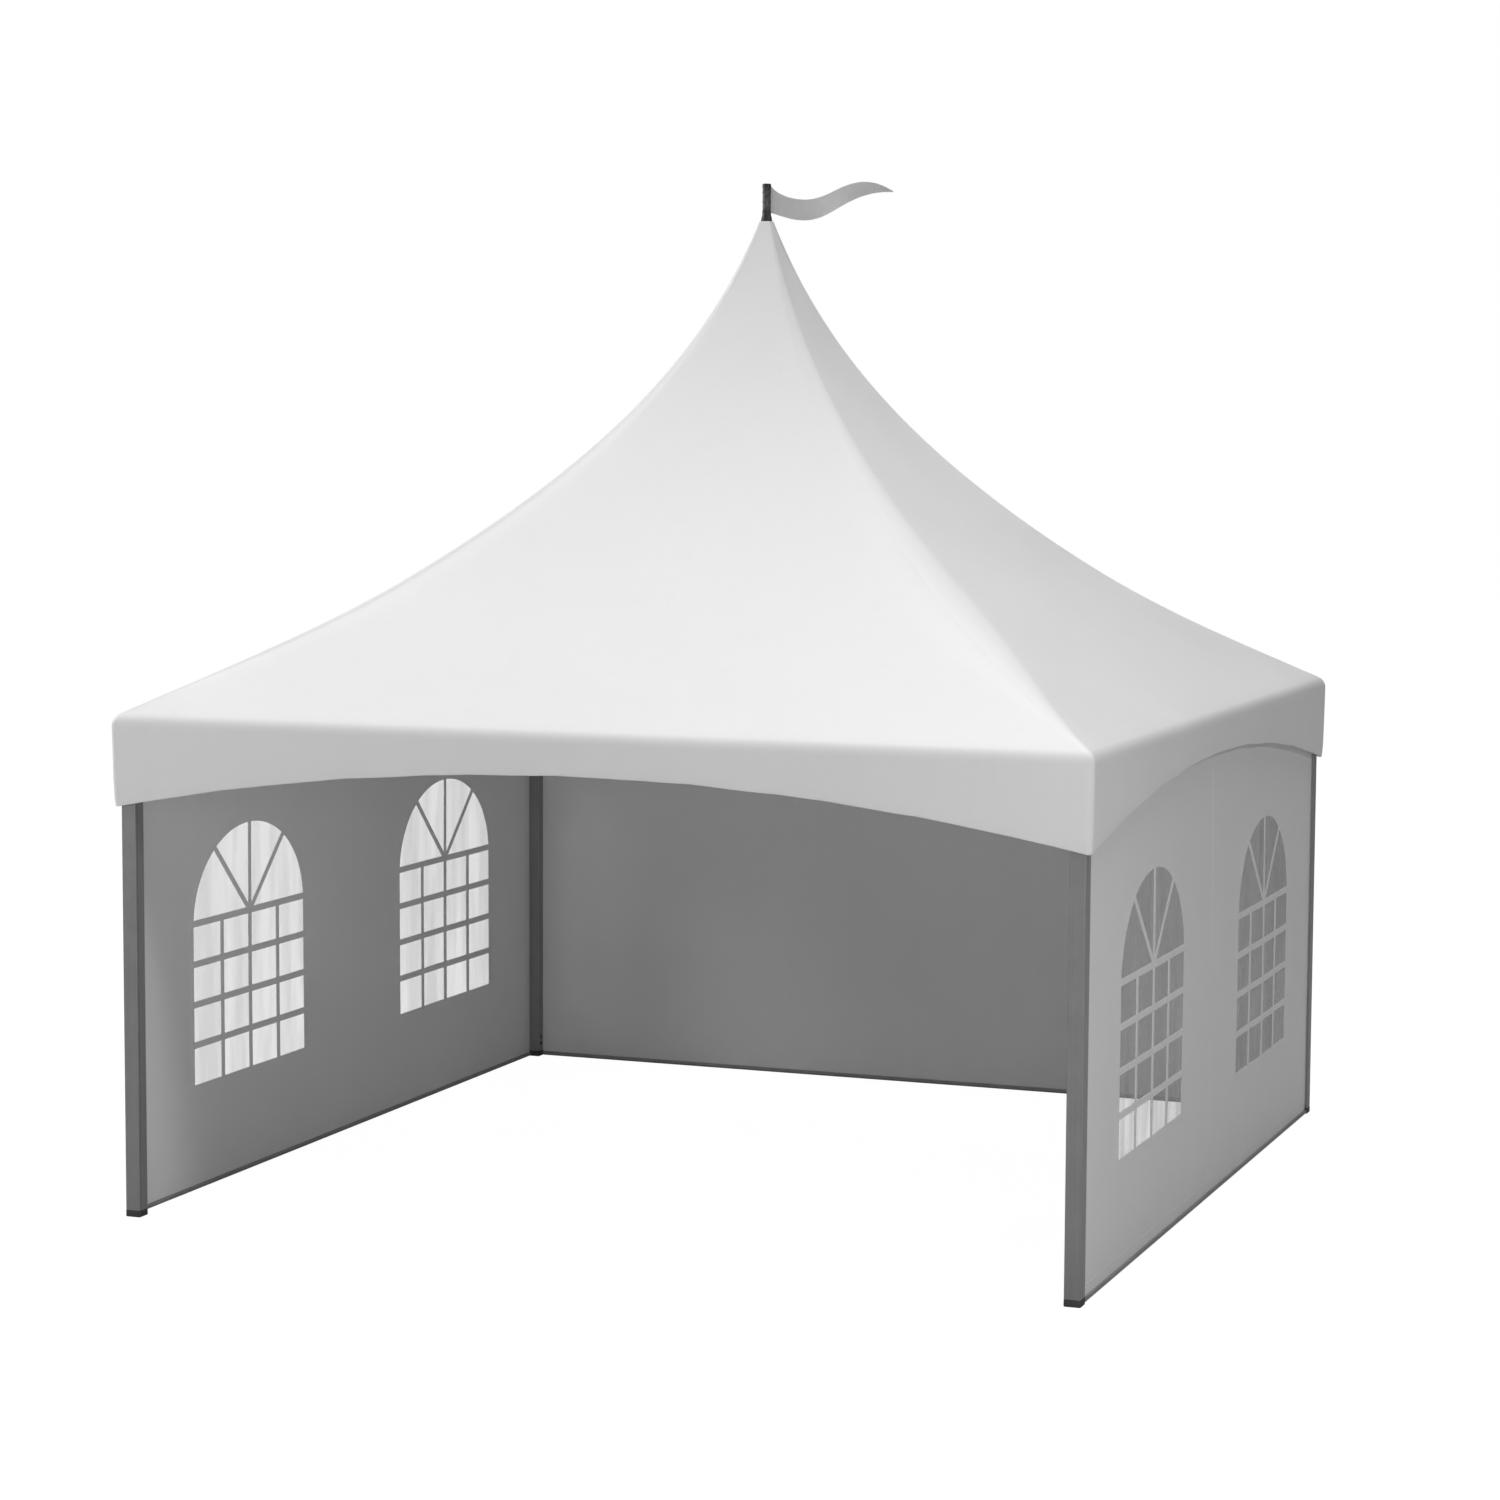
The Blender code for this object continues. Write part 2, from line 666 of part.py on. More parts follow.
def build_walls():
    window_wall, plain_wall, bar = make_wall(True), make_wall(False), make_bottom_bar()
    for number, side in enumerate(SIDES):
        if side == "front":
            continue
        turn = number * QUARTER
        add_node(f"{side}_wall", plain_wall if side == "back" else window_wall, "white_pvc", turn)
        add_node(f"{side}_wall_bottom_bar", bar, "aluminium", turn)
    # Seen in the front position, -1 is the left-hand window: the front one of the right wall
    for wall, turn, places in (
        ("right", QUARTER, {-1: "front", 1: "back"}),
        ("left", 3 * QUARTER, {-1: "back", 1: "front"}),
    ):
        for side, place in places.items():
            add_node(f"{wall}_wall_window_{place}", make_pane(side), "clear_film", turn)


def build_pennant():
    add_node("flag_sleeve", make_flag_sleeve(), "dark_steel")
    add_node("pennant", make_pennant(), "pennant_cloth")


parts = empty_scene()
materials = make_materials()
build_frame()
build_cover()
build_walls()
build_pennant()
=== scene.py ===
import math

import bmesh
import bpy
import numpy as np
from mathutils import Matrix, Vector


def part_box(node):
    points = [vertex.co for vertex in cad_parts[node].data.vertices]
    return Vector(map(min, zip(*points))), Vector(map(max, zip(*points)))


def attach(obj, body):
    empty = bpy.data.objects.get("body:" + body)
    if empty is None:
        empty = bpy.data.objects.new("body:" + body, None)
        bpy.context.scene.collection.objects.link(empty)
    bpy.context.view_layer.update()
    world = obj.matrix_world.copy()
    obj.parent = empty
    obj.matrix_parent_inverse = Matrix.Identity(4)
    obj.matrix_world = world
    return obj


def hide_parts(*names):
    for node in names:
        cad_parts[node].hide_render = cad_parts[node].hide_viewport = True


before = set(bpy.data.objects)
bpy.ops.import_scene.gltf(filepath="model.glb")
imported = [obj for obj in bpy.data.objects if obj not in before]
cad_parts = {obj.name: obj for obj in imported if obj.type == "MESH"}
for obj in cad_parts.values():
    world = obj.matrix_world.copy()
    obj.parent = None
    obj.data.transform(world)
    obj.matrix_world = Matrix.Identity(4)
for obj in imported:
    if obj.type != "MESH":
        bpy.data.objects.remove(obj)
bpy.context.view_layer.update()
tentBody = "marquee"
flagBody = "flag"

# Places that the frame gives, in metres. The open side of the tent is at -Y.
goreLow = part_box("roof_gore_front")[0]
coverReach = -goreLow.y  # half a side of the cover
postLow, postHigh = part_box("post_front_right")
beamLow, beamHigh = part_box("eave_beam_front")
footLow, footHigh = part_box("post_foot_front_right")
wallLow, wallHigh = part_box("back_wall")
wallPlane = (wallLow.y + wallHigh.y) / 2
barLow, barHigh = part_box("back_wall_bottom_bar")
paneLow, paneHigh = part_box("right_wall_window_back")
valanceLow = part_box("valance_front")[0]
sleeveLow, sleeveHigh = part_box("flag_sleeve")
sides = ("front", "right", "back", "left")
corners = ("back_right", "back_left", "front_left", "front_right")


# Every new piece is one or more grids of points, worked out as whole arrays.
def patch(points, uv=None, wrap=False):
    # Rows go down and columns go right, seen from outside, so the faces look outwards.
    rows, columns = points.shape[:2]
    row, column = np.meshgrid(np.arange(rows - 1), np.arange(columns - (not wrap)), indexing="ij")
    quads = []
    for wide in (columns, columns + wrap):  # the UV grid of a wrapped patch has one column more
        right = (column + 1) % wide
        ring = [row * wide + column, (row + 1) * wide + column, (row + 1) * wide + right, row * wide + right]
        quads.append(np.stack(ring, -1).reshape(-1, 4))
    flatUv = np.zeros((rows * (columns + wrap), 2)) if uv is None else uv.reshape(-1, 2)
    return {"points": points.reshape(-1, 3), "quads": quads[0], "uv": flatUv, "uvQuads": quads[1]}


def surfaceUv(points):
    # Metres along and down a patch, added up from point to point on its own surface.
    along = np.linalg.norm(np.diff(points, axis=1, prepend=points[:, :1]), axis=-1).cumsum(1)
    down = np.linalg.norm(np.diff(points, axis=0, prepend=points[:1]), axis=-1).cumsum(0)
    return np.stack([along, -down], -1)


def placed(points, place):
    place = np.array(place)
    return points @ place[:3, :3].T + place[:3, 3]


def turned(points, quarters):
    # The same points on another side of the tent: quarter turns about the vertical axis.
    for _ in range(quarters % 4):
        points = np.stack([-points[..., 1], points[..., 0], points[..., 2]], -1)
    return points


def tube(points, place=np.eye(4), metres=False):
    # Rings of points one after another, with both ends closed to a point.
    ends = [np.broadcast_to(points[end].mean(0), points[:1].shape) for end in (0, -1)]
    whole = placed(np.concatenate([ends[0], points, ends[1]]), place)
    uv = surfaceUv(np.concatenate([whole, whole[:, :1]], 1)) if metres else None
    return patch(whole, uv, wrap=True)


def sweep(path, ring, up=(0.0, 0.0, 1.0)):
    # A ring of (across, up) offsets carried along a path. Across is the path's direction times up.
    along = np.gradient(path, axis=0)
    along /= np.linalg.norm(along, axis=1, keepdims=True)
    across = np.cross(along, up)
    across /= np.linalg.norm(across, axis=1, keepdims=True)
    above = np.cross(across, along)
    return tube(path[:, None] + ring[:, :1] * across[:, None] + ring[:, 1:] * above[:, None])


def circle(radius, count):
    turn = np.linspace(0, math.tau, count, endpoint=False)
    return radius * np.stack([np.cos(turn), np.sin(turn)], -1)


def lathe(profile, count, place=np.eye(4)):
    # A profile of (radius, height) turned about the Z axis, then moved by a matrix.
    profile = np.asarray(profile, float)
    radii = profile[:, None, :1] * circle(1.0, count)[None]
    heights = np.broadcast_to(profile[:, None, 1:], radii.shape[:2] + (1,))
    return patch(placed(np.concatenate([radii, heights], -1), place), wrap=True)


def turnedAlong(profile, count, place):
    # A profile of (radius, x) turned about the X axis.
    return lathe(profile, count, place @ Matrix.Rotation(math.pi / 2, 4, "Y"))


def plate(outline, thickness, place, bevel=0.0008):
    # A flat outline of (x, z) points about the y axis, its rims bevelled, closed by two fans.
    outline = np.asarray(outline, float)
    middle = (outline.min(0) + outline.max(0)) / 2
    centre = np.broadcast_to(middle, outline.shape)
    inset = outline + (middle - outline) * bevel / np.abs(outline - middle).max(0)
    half, rim = thickness / 2, thickness / 2 - bevel
    levels = [(-half, centre), (-half, inset), (-rim, outline), (rim, outline), (half, inset), (half, centre)]
    rows = [np.stack([ring[:, 0], np.full(len(ring), depth), ring[:, 1]], -1) for depth, ring in levels]
    return patch(placed(np.stack(rows), place), wrap=True)


def stadium(start, end, radius, count=12):
    # An outline with round ends between two x places.
    turn = np.linspace(-math.pi / 2, math.pi / 2, count)
    right = np.stack([end + radius * np.cos(turn), radius * np.sin(turn)], -1)
    left = np.stack([start - radius * np.cos(turn), -radius * np.sin(turn)], -1)
    return np.concatenate([right, left])


def joined(patches, values, faces):
    # One array of all the patches' values, and their faces with numbers that run on.
    starts = np.cumsum([0] + [len(part[values]) for part in patches])
    moved = [part[faces] + start for part, start in zip(patches, starts)]
    return np.concatenate([part[values] for part in patches]), np.concatenate(moved)


def buildPiece(name, patches, sharp=None):
    # Joins the patches into one mesh and welds their shared edges. A closed piece has an angle from
    # which its edges are sharp, and its faces are turned outwards.
    points, quads = joined(patches, "points", "quads")
    uvs, uvQuads = joined(patches, "uv", "uvQuads")
    mesh = bpy.data.meshes.new(name)
    mesh.vertices.add(len(points))
    mesh.vertices.foreach_set("co", points.astype(np.float32).ravel())
    mesh.loops.add(quads.size)
    mesh.loops.foreach_set("vertex_index", quads.astype(np.int32).ravel())
    mesh.polygons.add(len(quads))
    mesh.polygons.foreach_set("loop_start", np.arange(0, quads.size, 4, dtype=np.int32))
    layer = mesh.uv_layers.new(name="metres")
    layer.data.foreach_set("uv", uvs[uvQuads].astype(np.float32).ravel())
    mesh.update(calc_edges=True)
    work = bmesh.new()
    work.from_mesh(mesh)
    bmesh.ops.remove_doubles(work, verts=work.verts, dist=1e-5)
    if sharp:
        bmesh.ops.recalc_face_normals(work, faces=work.faces)
    work.to_mesh(mesh)
    work.free()
    mesh.polygons.foreach_set("use_smooth", np.ones(len(mesh.polygons), bool))
    if sharp:
        mesh.set_sharp_from_angle(angle=math.radians(sharp))
    piece = bpy.data.objects.new(name, mesh)
    bpy.context.scene.collection.objects.link(piece)
    return piece


clothSharp = math.radians(50)  # keeps the cut edges of cloth crisp


def makePiece(name, patches, material, slot, replaced=(), cloth=0.0, offset=-1.0, sharp=None, body=tentBody):
    # A finished piece on its body. Cloth is a sheet that an applied Solidify gives its thickness.
    piece = buildPiece(name, patches, sharp)
    if cloth:
        sheet = piece.data
        solid = piece.modifiers.new("cloth thickness", "SOLIDIFY")
        solid.thickness = cloth
        solid.offset = offset
        graph = bpy.context.evaluated_depsgraph_get()
        piece.data = bpy.data.meshes.new_from_object(piece.evaluated_get(graph))
        piece.modifiers.clear()
        bpy.data.meshes.remove(sheet)
        piece.data.name = name
        piece.data.set_sharp_from_angle(angle=clothSharp)
    piece.data.materials.append(material)
    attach(piece, body)
    if replaced:
        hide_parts(*replaced)
    return piece


def smoothStep(value, low, high):
    t = np.clip((value - low) / (high - low), 0.0, 1.0)
    return t * t * (3 - 2 * t)


def stops(*spans):
    # Even steps (from, to, count) over one span after another, with each shared end once.
    parts = [np.linspace(*span) for span in spans]
    return np.concatenate([part[:-1] for part in parts[:-1]] + parts[-1:])


def waves(x, lengths, phase):
    # A sum of sines of unlike wavelengths, the longer the stronger, between about -1 and 1.
    total = 0.0
    for number, length in enumerate(lengths):
        total = total + length * np.sin(math.tau * x / length + phase * (1.0 + 0.7 * number))
    return total / sum(lengths)


# Shader helpers
def addNode(kind, settings=(), tree=None, **inputs):
    # A node in the tree of the sockets that feed it, unless a tree is given. Inputs go by name, or by
    # number as in0 and on, and a socket as a value is linked.
    tree = tree or next(value.id_data for value in inputs.values() if isinstance(value, bpy.types.NodeSocket))
    node = tree.nodes.new(kind)
    for key, value in dict(settings).items():
        setattr(node, key, value)
    for key, value in inputs.items():
        socket = node.inputs[int(key[2:]) if key[2:].isdigit() else key.replace("_", " ")]
        if isinstance(value, bpy.types.NodeSocket):
            tree.links.new(value, socket)
        else:
            socket.default_value = value
    return node


def calc(operation, a, b=0.0, clamp=False):
    return addNode("ShaderNodeMath", {"operation": operation, "use_clamp": clamp}, in0=a, in1=b).outputs[0]


def times(a, b):
    return calc("MULTIPLY", a, b)


def remap(value, low, high, toLow=0.0, toHigh=1.0):
    inputs = {"in0": value, "in1": low, "in2": high, "in3": toLow, "in4": toHigh}
    return addNode("ShaderNodeMapRange", {"clamp": True}, **inputs).outputs[0]


def gray(value):
    return (value, value, value, 1.0)


def blendColor(share, first, second):
    # Mixes two colours, or two greys as numbers. A Mix node's colours are its inputs 6 and 7.
    first, second = (gray(tone) if isinstance(tone, float) else tone for tone in (first, second))
    return addNode("ShaderNodeMix", {"data_type": "RGBA"}, in0=share, in6=first, in7=second).outputs[2]


def noise(vector, scale, detail=3.0, roughness=0.55):
    inputs = {"Vector": vector, "Scale": scale, "Detail": detail, "Roughness": roughness}
    return addNode("ShaderNodeTexNoise", **inputs).outputs[0]


def stretched(vector, scale):
    return addNode("ShaderNodeMapping", Vector=vector, Scale=scale).outputs[0]


def axes(vector):
    return addNode("ShaderNodeSeparateXYZ", Vector=vector).outputs


def newGroup(name, **defaults):
    # A node group with a Vector input and one for each number. Returns the group and those sockets.
    group = bpy.data.node_groups.new(name, "ShaderNodeTree")
    group.interface.new_socket("Vector", in_out="INPUT", socket_type="NodeSocketVector")
    for key, default in defaults.items():
        label = key.replace("_", " ")
        socket = group.interface.new_socket(label, in_out="INPUT", socket_type="NodeSocketFloat")
        socket.default_value = default
    return group, *group.nodes.new("NodeGroupInput").outputs[:len(defaults) + 1]


def closeGroup(group, **results):
    # Gives the group an output for each result.
    for label in results:
        group.interface.new_socket(label, in_out="OUTPUT", socket_type="NodeSocketFloat")
    addNode("NodeGroupOutput", **results)
    return group


def useGroup(group, **inputs):
    return addNode("ShaderNodeGroup", {"node_tree": group}, **inputs).outputs


def makeWeaveGroup():
    # Plain weave under a coating: warp and weft threads as two crossed sine ridges.
    group, vector, threads = newGroup("coatedWeave", Threads_per_metre=700.0)
    place, turns = axes(vector), times(threads, math.pi)
    warp, weft = (calc("SINE", times(place[axis], turns)) for axis in (0, 1))
    slubs = noise(stretched(vector, (60.0, 14.0, 14.0)), 1.0, 2.0)
    height = calc("ADD", times(times(warp, weft), 0.5), times(slubs, 0.6))
    return closeGroup(group, Height=height, Shade=remap(slubs, 0.3, 0.7))


def makeWeatherGroup():
    # Dust that rises from the ground, faint streaks that run down, and broad blotches.
    group, vector, dustHeight, baseHeight = newGroup("weathering", Dust_height=0.35, Base_height=0.0)
    over = calc("DIVIDE", calc("SUBTRACT", axes(vector)[2], baseHeight), dustHeight)
    near = calc("POWER", calc("SUBTRACT", 1.0, over, clamp=True), 2.2)
    dust = times(near, remap(noise(vector, 9.0, 5.0, 0.65), 0.3, 0.75, 0.25, 1.0))
    streaks = remap(noise(stretched(vector, (14.0, 14.0, 0.9)), 1.0, 4.0, 0.6), 0.55, 0.8)
    blotches = remap(noise(vector, 1.3, 4.0, 0.6), 0.3, 0.7)
    return closeGroup(group, Dust=dust, Streaks=streaks, Blotches=blotches)


def makeGrainGroup():
    # Fine lines along the draw direction of a profile, lighter and darker in broad bands.
    group, vector = newGroup("drawnGrain")
    fine, broad = noise(vector, 1.0, 3.0, 0.7), noise(vector, 0.12, 3.0, 0.5)
    mixed = calc("ADD", times(fine, 0.5), times(broad, 0.5))
    return closeGroup(group, Height=fine, Shade=remap(mixed, 0.3, 0.7))


def makeSpangleGroup():
    # The crystal pattern of a hot-dipped zinc coat, dulled in patches.
    group, vector, scale = newGroup("zincSpangle", Scale=160.0)
    cells = addNode("ShaderNodeTexVoronoi", Vector=vector, Scale=scale).outputs["Color"]
    shade = addNode("ShaderNodeSeparateColor", Color=cells).outputs[0]
    return closeGroup(group, Shade=shade, Dullness=remap(noise(vector, 22.0), 0.35, 0.7))


weaveGroup = makeWeaveGroup()
weatherGroup = makeWeatherGroup()
grainGroup = makeGrainGroup()
spangleGroup = makeSpangleGroup()


def startMaterial(name, **constants):
    # A Principled material with its plain values set on the shader's own sockets.
    material = bpy.data.materials.new(name)
    material.use_nodes = True
    inputs = material.node_tree.nodes["Principled BSDF"].inputs
    for key, value in constants.items():
        inputs[key.replace("_", " ")].default_value = value
    return material


def finishMaterial(material, height, strength, depth, color, **results):
    # Links the colour and the other results to the shader, and the height through a bump.
    bump = addNode("ShaderNodeBump", Strength=strength, Distance=depth, Height=height)
    inputs = material.node_tree.nodes["Principled BSDF"].inputs
    for key, result in dict(results, Base_Color=color, Normal=bump.outputs[0]).items():
        material.node_tree.links.new(result, inputs[key.replace("_", " ")])
    return material


def objectPlace(material):
    return material.node_tree.nodes.new("ShaderNodeTexCoord").outputs["Object"]


def clothMetres(material):
    return addNode("ShaderNodeUVMap", {"uv_map": "metres"}, material.node_tree).outputs[0]


def makeCoatedCloth(name, look):
    # White PVC-coated polyester: weave under a satin lacquer, dust, streaks and blotches.
    material = startMaterial(name, Specular_IOR_Level=0.35)
    weave = useGroup(weaveGroup, Vector=clothMetres(material), Threads_per_metre=look["threads"])
    heights = {"Dust_height": look["dustHeight"], "Base_height": look["dustBase"]}
    weather = useGroup(weatherGroup, Vector=objectPlace(material), **heights)
    color = blendColor(weather["Blotches"], look["dark"], look["light"])
    color = blendColor(times(weave["Shade"], 0.12), color, look["light"] * 1.03)
    color = blendColor(times(weather["Streaks"], look["streaks"]), color, look["grime"])
    color = blendColor(times(weather["Dust"], look["dust"]), color, look["grime"])
    rough = remap(weather["Blotches"], 0.0, 1.0, look["roughLow"], look["roughHigh"])
    return finishMaterial(material, weave["Height"], look["bump"], 0.0006, color, Roughness=rough)


coverLook = {
    "threads": 500.0, "light": 0.88, "dark": 0.86, "grime": 0.60, "dust": 0.0, "streaks": 0.05,
    "dustHeight": 0.3, "dustBase": valanceLow.z, "roughLow": 0.42, "roughHigh": 0.52, "bump": 0.25,
}
wallLook = {
    "threads": 500.0, "light": 0.84, "dark": 0.82, "grime": 0.55, "dust": 0.22, "streaks": 0.05,
    "dustHeight": 0.35, "dustBase": 0.0, "roughLow": 0.45, "roughHigh": 0.55, "bump": 0.25,
}
weldLook = {"threads": 170.0, "bump": 0.7}  # the coarse print of the welding roller
coverCloth = makeCoatedCloth("coverCloth", coverLook)
weldedCloth = makeCoatedCloth("weldedCloth", coverLook | weldLook | {"roughLow": 0.34, "roughHigh": 0.42})
wallCloth = makeCoatedCloth("wallCloth", wallLook)
weldedWallCloth = makeCoatedCloth("weldedWallCloth", wallLook | weldLook)

films = {  # the right side's film is darker, with stronger streaks: painted shade of that side and painted reflections of its ripples
    "left": {"dark": 0.72, "light": 0.88, "clear": 0.19, "hazeAndSheen": 0.30},
    "right": {"dark": 0.50, "light": 0.68, "clear": 0.22, "hazeAndSheen": 0.42},
}


def makeWindowFilm(side, look):
    # Clear soft film: nearly see-through, with upright streaks of haze and ripples that catch the light. On
    # the right film the streaks are also painted reflections of the ripples.
    material = startMaterial(f"{side}WindowFilm", Roughness=0.12, Specular_IOR_Level=0.5)
    place = objectPlace(material)
    # Upright streaks, lighter and less clear: real haze, and on the right film also painted reflections
    hazeAndSheenMask = noise(stretched(place, (7.0, 7.0, 1.0)), 1.0, 2.0)
    color = blendColor(hazeAndSheenMask, look["dark"], look["light"])
    alpha = remap(hazeAndSheenMask, 0.36, 0.66, look["clear"], look["hazeAndSheen"])
    ripple = noise(stretched(place, (7.0, 7.0, 1.4)), 1.0, 2.0)
    return finishMaterial(material, ripple, 0.35, 0.004, color, Alpha=alpha)


windowFilms = {side: makeWindowFilm(side, look) for side, look in films.items()}


def makeAluminium(name, base, grainScale):
    # Anodised profile: fine lines along its length and dull handling marks.
    material = startMaterial(name, Metallic=0.25, Specular_IOR_Level=0.5)
    place = objectPlace(material)
    grain = useGroup(grainGroup, Vector=stretched(place, grainScale))
    marks = remap(noise(place, 6.0, 6.0, 0.7), 0.45, 0.75)
    color = blendColor(grain["Shade"], base * 0.86, base * 1.1)
    color = blendColor(times(marks, 0.25), color, base * 1.5)
    rough = remap(marks, 0.0, 1.0, 0.38, 0.56)
    return finishMaterial(material, grain["Height"], 0.2, 0.0004, color, Roughness=rough)


alongZ, alongX, alongY = (900.0, 900.0, 6.0), (6.0, 900.0, 900.0), (900.0, 6.0, 900.0)
postFinish = makeAluminium("postAluminium", 0.27, alongZ)
beamFinishX = makeAluminium("beamAluminiumAlongX", 0.30, alongX)
beamFinishY = makeAluminium("beamAluminiumAlongY", 0.30, alongY)
beamFinish = {"front": beamFinishX, "right": beamFinishY, "back": beamFinishX, "left": beamFinishY}
mastFinish = makeAluminium("mastAluminium", 0.30, alongZ)

tones = {  # greys of the other finishes
    "zincDark": 0.13, "zincLight": 0.24, "zincDull": 0.10, "shoeDark": 0.040, "shoeLight": 0.060,
    "shoeDust": 0.16, "paintDark": 0.035, "paintLight": 0.060, "paintRubbed": 0.13, "bareMetal": 0.22,
    "flagDark": 0.62, "flagLight": 0.65,
}


def makeZinc():
    # Hot-dip galvanised steel, with crystals and dull patches.
    material = startMaterial("galvanisedSteel", Metallic=0.8)
    spangle = useGroup(spangleGroup, Vector=objectPlace(material), Scale=160.0)
    color = blendColor(spangle["Shade"], tones["zincDark"], tones["zincLight"])
    color = blendColor(times(spangle["Dullness"], 0.4), color, tones["zincDull"])
    rough = remap(spangle["Dullness"], 0.0, 1.0, 0.42, 0.65)
    return finishMaterial(material, spangle["Shade"], 0.1, 0.0003, color, Roughness=rough)


def makeShoeCoat():
    # Dark coated casting, dusty near the ground.
    material = startMaterial("shoeCoat", Metallic=0.1)
    place = objectPlace(material)
    dust = useGroup(weatherGroup, Vector=place, Dust_height=0.05)["Dust"]
    color = blendColor(noise(place, 40.0), tones["shoeDark"], tones["shoeLight"])
    color = blendColor(times(dust, 0.30), color, tones["shoeDust"])
    rough = remap(dust, 0.0, 1.0, 0.50, 0.75)
    return finishMaterial(material, noise(place, 260.0), 0.25, 0.0004, color, Roughness=rough)


def makeStaffPaint():
    # Dark satin paint, rubbed paler along the middle of the sleeve, with small chips down to metal.
    material = startMaterial("staffPaint", Roughness=0.42, Metallic=0.2)
    place = objectPlace(material)
    off = calc("ABSOLUTE", calc("SUBTRACT", axes(place)[2], (sleeveLow.z + sleeveHigh.z) / 2))
    rubbed = times(remap(off, 0.03, 0.075, 1.0, 0.0), remap(noise(place, 60.0), 0.3, 0.6))
    chips = remap(noise(place, 120.0, 4.0, 0.6), 0.66, 0.70)
    color = blendColor(noise(place, 14.0), tones["paintDark"], tones["paintLight"])
    color = blendColor(rubbed, color, tones["paintRubbed"])
    color = blendColor(chips, color, tones["bareMetal"])
    return finishMaterial(material, noise(place, 300.0), 0.12, 0.0004, color)


def makePennantCloth():
    # Light grey flag cloth.
    material = startMaterial("pennantCloth", Roughness=0.82, Specular_IOR_Level=0.2)
    weave = useGroup(weaveGroup, Vector=clothMetres(material), Threads_per_metre=900.0)
    color = blendColor(weave["Shade"], tones["flagDark"], tones["flagLight"])
    return finishMaterial(material, weave["Height"], 0.35, 0.0006, color)


zinc = makeZinc()
shoeFinish = makeShoeCoat()
staffPaint = makeStaffPaint()
pennantCloth = makePennantCloth()
print("materials made")


# The roof cover
cover = {
    "eaveHeight": goreLow.z + 0.008,
    "spread": 0.772,  # roofHeight's logarithm, how soft it is at the peak, and its slope
    "softness": 0.2475,
    "fall": 0.310,
    "tipHalf": 0.030,
    "lipHalf": 0.0135,  # the tip turns in to the staff's pin
    "hipSoft": 0.2,  # corner radius in plan high up, as a share of the half-side
    "hipTight": 0.030,  # corner radius in plan at the eaves
    "hipTightens": 1.5,  # the half-side from which it goes over to that
    "slack": 0.012,  # how far the cloth stands off the frame along the eaves
    "slackSpan": (1.2, 2.45),  # half-sides over which it comes on
    "rollRadius": 0.072,  # the rounded edge over the beams
    "cornerPull": 0.007,  # the corners are drawn out over the brackets
    "cornerSpan": 0.09,
    "pullSpan": (2.2, 2.5),
    "cloth": 0.0012,
    "hemCornerZ": valanceLow.z - 0.008,
    "hemRise": 0.253,
    "hemRadius": 0.005,  # a cord lies in the hem
    "hemFold": 0.045,
    "hemWave": 0.0035,
    "hemWaveLengths": (0.61, 0.37, 0.23),
    "flutter": 0.004,  # how far the valance waves in and out at its hem
    "flutterLengths": (0.83, 0.47, 0.29),
    "lean": 0.004,  # the hem draws the valance in a little
    "wrinkle": 0.0016,  # tension wrinkles that run out from the corners
    "wrinkleReach": 0.30,
    "wrinkleRays": 26,
    "wrinkleStart": 0.08,
    "calmHip": 0.05,
    "calmEave": 0.06,
    "flatColumns": 44,
    "hipColumns": 9,
    "roofRows": 70,
    "rowCrowding": 1.6,  # the roof's rows lie closer towards the peak
    "rollRows": 7,
    "valanceRows": 14,
}


def roofHeight(half):
    # Height of the cover where its square section has this half-side: a logarithm plus a slope.
    ratio = (coverReach + cover["softness"]) / (half + cover["softness"])
    return cover["eaveHeight"] + cover["spread"] * np.log(ratio) + cover["fall"] * (coverReach - half)


def hipRadius(half):
    # The hips are soft high up and tight at the eaves.
    tight = smoothStep(half, cover["hipTightens"], coverReach)
    return cover["hipSoft"] * half * (1 - tight) + cover["hipTight"] * tight


def sectionPoint(half, walk):
    # Walks along a rounded square from the middle of the front side: straight, then round the hip.
    radius = hipRadius(half)
    flat = half - radius
    angle = np.maximum(np.abs(walk) - flat, 0) / radius
    across = np.sign(walk) * (np.minimum(np.abs(walk), flat) + radius * np.sin(angle))
    return across, -(flat + radius * np.cos(angle))


def halfWalk(half):
    # How far it is from the middle of a side to the middle of the hip.
    radius = hipRadius(half)
    return half - radius + radius * math.pi / 4


def shareWalk(half, share):
    # A share from -1 to 1 as a walk: the inner part is the straight side, the rest the two hips.
    radius = hipRadius(half)
    straight = cover["flatColumns"] / (cover["flatColumns"] + 2 * cover["hipColumns"])
    onHip = np.maximum(np.abs(share) - straight, 0) / (1 - straight) * radius * math.pi / 4
    return np.sign(share) * (np.minimum(np.abs(share) / straight, 1) * (half - radius) + onHip)


def hemHeight(across):
    # The valance's hem is a parabola, highest in the middle of a side.
    return cover["hemCornerZ"] + cover["hemRise"] * (1 - np.clip(np.abs(across) / coverReach, 0, 1) ** 2)


# The rolled edge touches the roof where their slopes agree
rollHalf = coverReach - 0.015
for _ in range(4):
    slopeAngle = math.atan(cover["spread"] / (rollHalf + cover["softness"]) + cover["fall"])
    rollHalf = coverReach - cover["rollRadius"] * (1 - math.sin(slopeAngle))
rollZ = float(roofHeight(rollHalf)) - cover["rollRadius"] * math.cos(slopeAngle)


